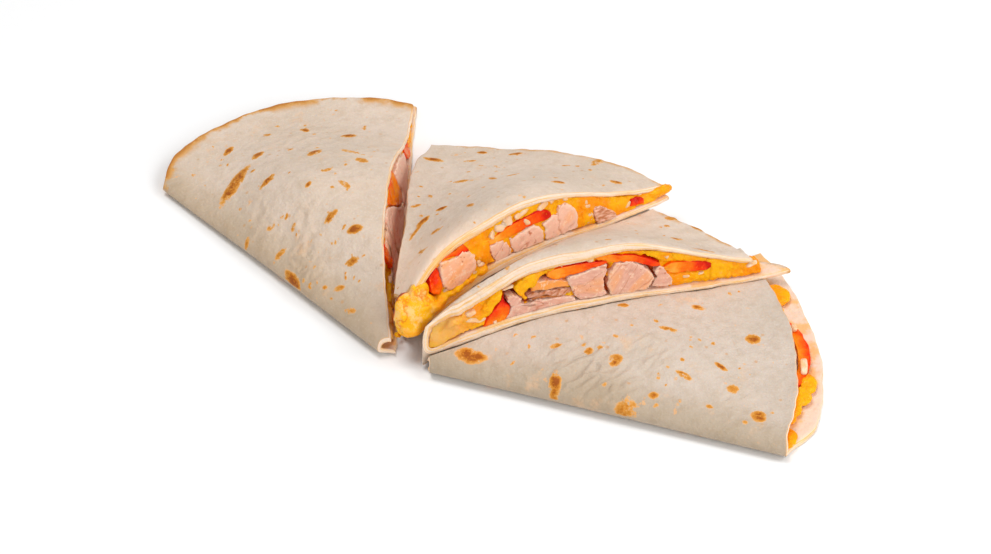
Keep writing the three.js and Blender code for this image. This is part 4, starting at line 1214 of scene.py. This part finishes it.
# ---- The peppers
# Red and orange sweet pepper, cut in strips and dice and fried until soft. Each has a red glossy skin on
# one side and wet orange flesh on the other.
# Dice on each wedge's first side: outline (along, up), redness at its foot and its top.
PEPPER_DICE = {
    1: [
        ([(94.8, 8), (96, 10), (101.4, 9.4), (101.4, 2.2), (98, 2), (95, 4.6)], 0.35, 0.8),
        ([(57, 17), (63, 18.6), (74.6, 17.4), (75, 12), (75, 6.4), (70.6, 5.4), (66, 9),
          (60.6, 13.4)], 0.1, 0.5),
        ([(32, 18.4), (36, 18.6), (39, 12), (37.6, 9), (34.6, 10), (33, 14)], 0.7, 0.6),
    ],
    2: [
        ([(19.8, 14.2), (23.1, 15), (23.8, 13), (23.6, 6.5), (22, 5.8), (19.8, 8)], 0.45, 1.0),
        ([(24.5, 16.3), (28.8, 18.5), (32.2, 17.8), (34.8, 12.6), (30, 13.7)], 1.0, 0.25),
        ([(98.8, 6), (101.6, 6.4), (104.4, 5), (104.2, 2.6), (100.6, 3.2), (98.2, 3.8)], 0.6, 1.0),
    ],
    3: [
        ([(20.4, 2.6), (22.3, 6.8), (24.8, 8.8), (27.2, 12), (27.9, 9.4), (29.4, 7.4), (29, 5.2), (27.8, 4),
          (26, 2.2), (23.3, 1.9)], 0.15, 1.15),
    ],
    4: [],
}
# Strips on each wedge's first and last side: stations (along, up, height), redness at its start and its end.
PEPPER_STRIPS = {
    1: ([], []),
    2: ([
        ([(42, 11, 1.9), (46, 10.7, 2.7), (51, 11.2, 3.8), (58, 11.6, 3.6), (63, 11.5, 4.6),
          (66.4, 10.8, 1.6)], 0.2, 0.95),
    ], [
        ([(46, 9, 2), (52, 10, 3), (58, 9, 2)], 0.6, 0.6),
        ([(76, 5, 2), (82, 5.4, 2.4), (88, 5, 1.6)], 0.8, 0.8),
    ]),
    3: ([
        ([(41.4, 15, 1.6), (44, 14.4, 4), (50, 14.5, 3.8), (55, 14.7, 2.6), (61, 15, 1.2)], 0.2, 0.9),
        ([(57, 17.4, 1.8), (60, 16.8, 3.2), (65, 15.4, 2.6), (70, 14.7, 2.9), (75, 12.4, 3),
          (78.6, 11.2, 1.4)], 0.3, 0.85),
        ([(79.8, 9.4, 1.4), (82, 9.4, 4), (86, 9.3, 4.2), (91, 8.9, 4.2), (94.6, 8.5, 3),
          (95.8, 8.4, 1.6)], 0.1, 1.0),
    ], [([(44, 6, 2), (50, 6.6, 2.6), (56, 6, 2)], 0.5, 0.5)]),
    4: ([], [([(46, 5, 2), (52, 5.6, 2.4), (58, 5, 2)], 0.7, 0.7)]),
}
RING_RADIUS = 25
RING_WIDE = 3.8
RING_HIGH = 2.2
RING_ARC = math.radians(86)
RING_AT = (0.477, 94.6, SHEET + GAP + RING_HIGH / 2)
PEPPER_NODES = {1: "abc", 2: "abcdef", 3: "abcdef", 4: "ab"}


def pepper_ring():
    """The curved slice in the open rim of wedge 4, and how near each point is to its outer skin."""
    points, faces = plain_form(22)
    across, high = rounded(points[:, 0], points[:, 2])
    taper = 1 - 0.75 * np.abs(points[:, 1]) ** 3
    angle = points[:, 1] * RING_ARC / 2
    radius = RING_RADIUS + across * RING_WIDE / 2 * taper
    bent = np.stack([radius * np.cos(angle), radius * np.sin(angle), high * RING_HIGH / 2 * taper], axis=1)
    return bent, faces, (across + 1) / 2


def spread(values):
    """Each value's share of the way from the least to the greatest."""
    return (values - values.min()) / (values.max() - values.min())


def fried_pepper():
    """Wet orange flesh under a red glossy skin."""
    material, tree, place = new_material("fried_pepper")
    broad = noise(place, 240, 3)
    fine = noise(place, 900, 3, 0.6)
    colour = ramp(own(tree, "redness") + (broad - 0.5) * 0.9, [
        (0.0, (0.97, 0.42, 0.05)), (0.3, (0.97, 0.26, 0.006)), (0.6, (0.95, 0.13, 0.001)),
        (0.85, (0.90, 0.035, 0.001)), (1.0, (0.62, 0.008, 0.001)),
    ])
    colour = blend(fine.step(0.6, 0.8, 0, 0.6), colour, (0.97, 0.40, 0.04))
    return close_material(material, colour, [(broad, 0.0005), (fine, 0.0003)], roughness=0.3, shine=0.12,
                          subsurface=0.12, radius=(0.002, 0.0006, 0.0002), coat=0.08)


pepper_finish = fried_pepper()
for key, w in WEDGES.items():
    parts, redness = [], []
    for outline, foot, crown in PEPPER_DICE[key]:
        points, faces, flat, near = knife_cut(w, 0, outline, 6, -0.1, 0.1, carver)
        parts.append((points, faces))
        redness.append(lerp(foot, crown, spread(flat[:, 1])) + 0.2 * near**12)
    for side, strips in enumerate(PEPPER_STRIPS[key]):
        for stations, start, end in strips:
            points, faces, flat, near = sliced(w, side, stations, 6, 0)
            parts.append((points, faces))
            redness.append(lerp(start, end, ease(spread(flat[:, 0]))) + 0.45 * ease(np.abs(near) * 5 - 4))
    if key == 4:
        points, faces, skin_side = pepper_ring()
        parts.append((set_down(points, *at_rim(w, *RING_AT)), faces))
        redness.append(0.3 + 0.5 * skin_side)
    piece = add_mesh(f"peppers_in_{key}", *join(parts), {"redness": np.concatenate(redness)})
    make_uneven(piece, melted, swelling=0.0007, swelling_size=0.004, ripple=0.0003, ripple_size=0.0013,
                crease=0.0003, material=pepper_finish)
    stand_for(piece, "pepper", *[f"pepper_{key}{letter}" for letter in PEPPER_NODES[key]])

# ---- The onion
# Chopped white onion, cooked soft and see-through. The bits are caught in the cheese along the cuts, and
# the knife left many of them flat.
# Bits on each wedge's first side: along, up, (long, high, deep), turn.
ONION = {
    1: [
        (84, 12, (3, 1.6, 2), 10), (25, 5, (5, 2.4, 2.2), 0), (30, 8, (4, 2, 2.2), 20), (71, 4, (3, 2, 2), 0),
    ],
    2: [
        (46.9, 13.2, (3.4, 2.2, 2.4), -20), (50.2, 14.3, (4, 3.2, 2.4), 5), (55.6, 14.9, (6, 2.4, 2.4), 6),
        (65.6, 14.3, (8.6, 2, 2.4), 0), (72.6, 13.9, (4, 1.6, 2), -10), (80.6, 8.2, (3.6, 2.6, 2.4), 0),
        (80.9, 4.8, (4, 3, 2.4), 10), (97, 4, (5, 2, 2.2), 4), (103.2, 6.8, (2.6, 1.4, 2), 0),
        (38.4, 5.2, (3.4, 1.4, 2.4), 12), (36, 3.2, (3, 1.6, 2.4), 0), (25, 4, (3.2, 1.6, 2.2), 24),
        (22.6, 3, (2, 1.4, 2), 0),
    ],
    3: [
        (55.5, 16.7, (3, 3.4, 2.6), 8), (80.9, 13.2, (2.2, 2.8, 2.2), 20), (18.5, 6.2, (7.4, 1.6, 2.2), -6),
        # The thin bits at 92 and 85.8 along are painted highlights: pale bits set where the cheese shines.
        (17, 9.4, (4, 2.6, 2.2), 20), (92, 5.6, (2.4, 0.9, 2), 0), (85.8, 5, (5.4, 1, 2), 0),
        (109.6, 6, (4.4, 1.4, 2), -5), (24.6, 2.6, (3, 1.8, 2), 30),
    ],
    4: [],
}
# On wedge 4's open rim: u, radius, up, (long, high, deep).
RIM_ONION = [
    (0.585, 118.4, 5, (2.2, 3.4, 1.6)), (0.4, 119, 5.1, (2.4, 6, 1.6)), (0.66, 115, 4.6, (2, 3, 1.4)),
]
UNSEEN_BITS = 7


def onion_tree():
    """A chip of onion at each point, sized and turned by the point's own values, then warped uneven."""
    tree, given, place = new_shape_tree("chopped_onion", "Warp", "Warp Size")
    cube = put(tree, "GeometryNodeMeshCube", {"Size": (1, 1, 1)})
    chip = put(tree, "GeometryNodeSubdivisionSurface", {"Mesh": cube, "Level": 4, "Edge Crease": 0.24})
    turn = put(tree, "FunctionNodeEulerToRotation", {0: stored(tree, "turn", "FLOAT_VECTOR")})
    size = stored(tree, "size", "FLOAT_VECTOR")
    feeds = {"Points": given["Geometry"], "Instance": chip, "Rotation": turn, "Scale": size}
    many = put(tree, "GeometryNodeInstanceOnPoints", feeds)
    whole = put(tree, "GeometryNodeRealizeInstances", {"Geometry": many})
    pull = vector("SUBTRACT", noise(place, 1.0 / given["Warp Size"], 0.0).beside("Color"), (0.5, 0.5, 0.5))
    feeds = {"Geometry": whole, "Offset": vector("SCALE", pull, given["Warp"])}
    return close_shape_tree(put(tree, "GeometryNodeSetPosition", feeds), given)


def soft_onion():
    """Pinkish white onion, clear enough for light to pass into it."""
    material, tree, place = new_material("soft_onion")
    cloudy = noise(place, 500, 3)
    colour = blend(cloudy.step(0.35, 0.65), (0.88, 0.50, 0.25), (0.90, 0.62, 0.42))
    return close_material(material, colour, [(cloudy, 0.0003)], roughness=0.3, shine=0.2, subsurface=0.4,
                          radius=(0.002, 0.0016, 0.0012), coat=0.06)


onion_finish = soft_onion()
chopped_onion = onion_tree()
scatter = np.random.default_rng(14)
for key, w in WEDGES.items():
    bits = []
    for along, up, size, turn in ONION[key]:
        bits.append((facing(w, 0, turn), in_filling(w, 0, along, up, size[2] * 0.47), size))
    if key == 4:
        bits += [(*at_rim(w, u, radius, up), size) for u, radius, up, size in RIM_ONION]
    for side in (0, 1):
        for _ in range(UNSEEN_BITS if w.fold_at != side else 0):
            along = scatter.uniform(24, 96)
            thick = float(thickness(w, along, side))
            up = lerp(SHEET + 0.8, thick - SHEET - 0.6, scatter.uniform(0.1, 1))
            size = (scatter.uniform(2, 4), scatter.uniform(1.2, 2.2), 2)
            turn = facing(w, side, scatter.uniform(-40, 40))
            bits.append((turn, in_filling(w, side, along, up, 1.3), size))
    piece = add_mesh(f"onion_in_{key}", [place for _, place, _ in bits], [], {
        "turn": np.array([list(turn.to_euler()) for turn, _, _ in bits]),
        "size": np.array([size for _, _, size in bits]) * MM,
    })
    make_uneven(piece, chopped_onion, warp=0.0018, warp_size=0.0036, material=onion_finish)
    stand_for(piece, "cheese", f"cheese_{key}")
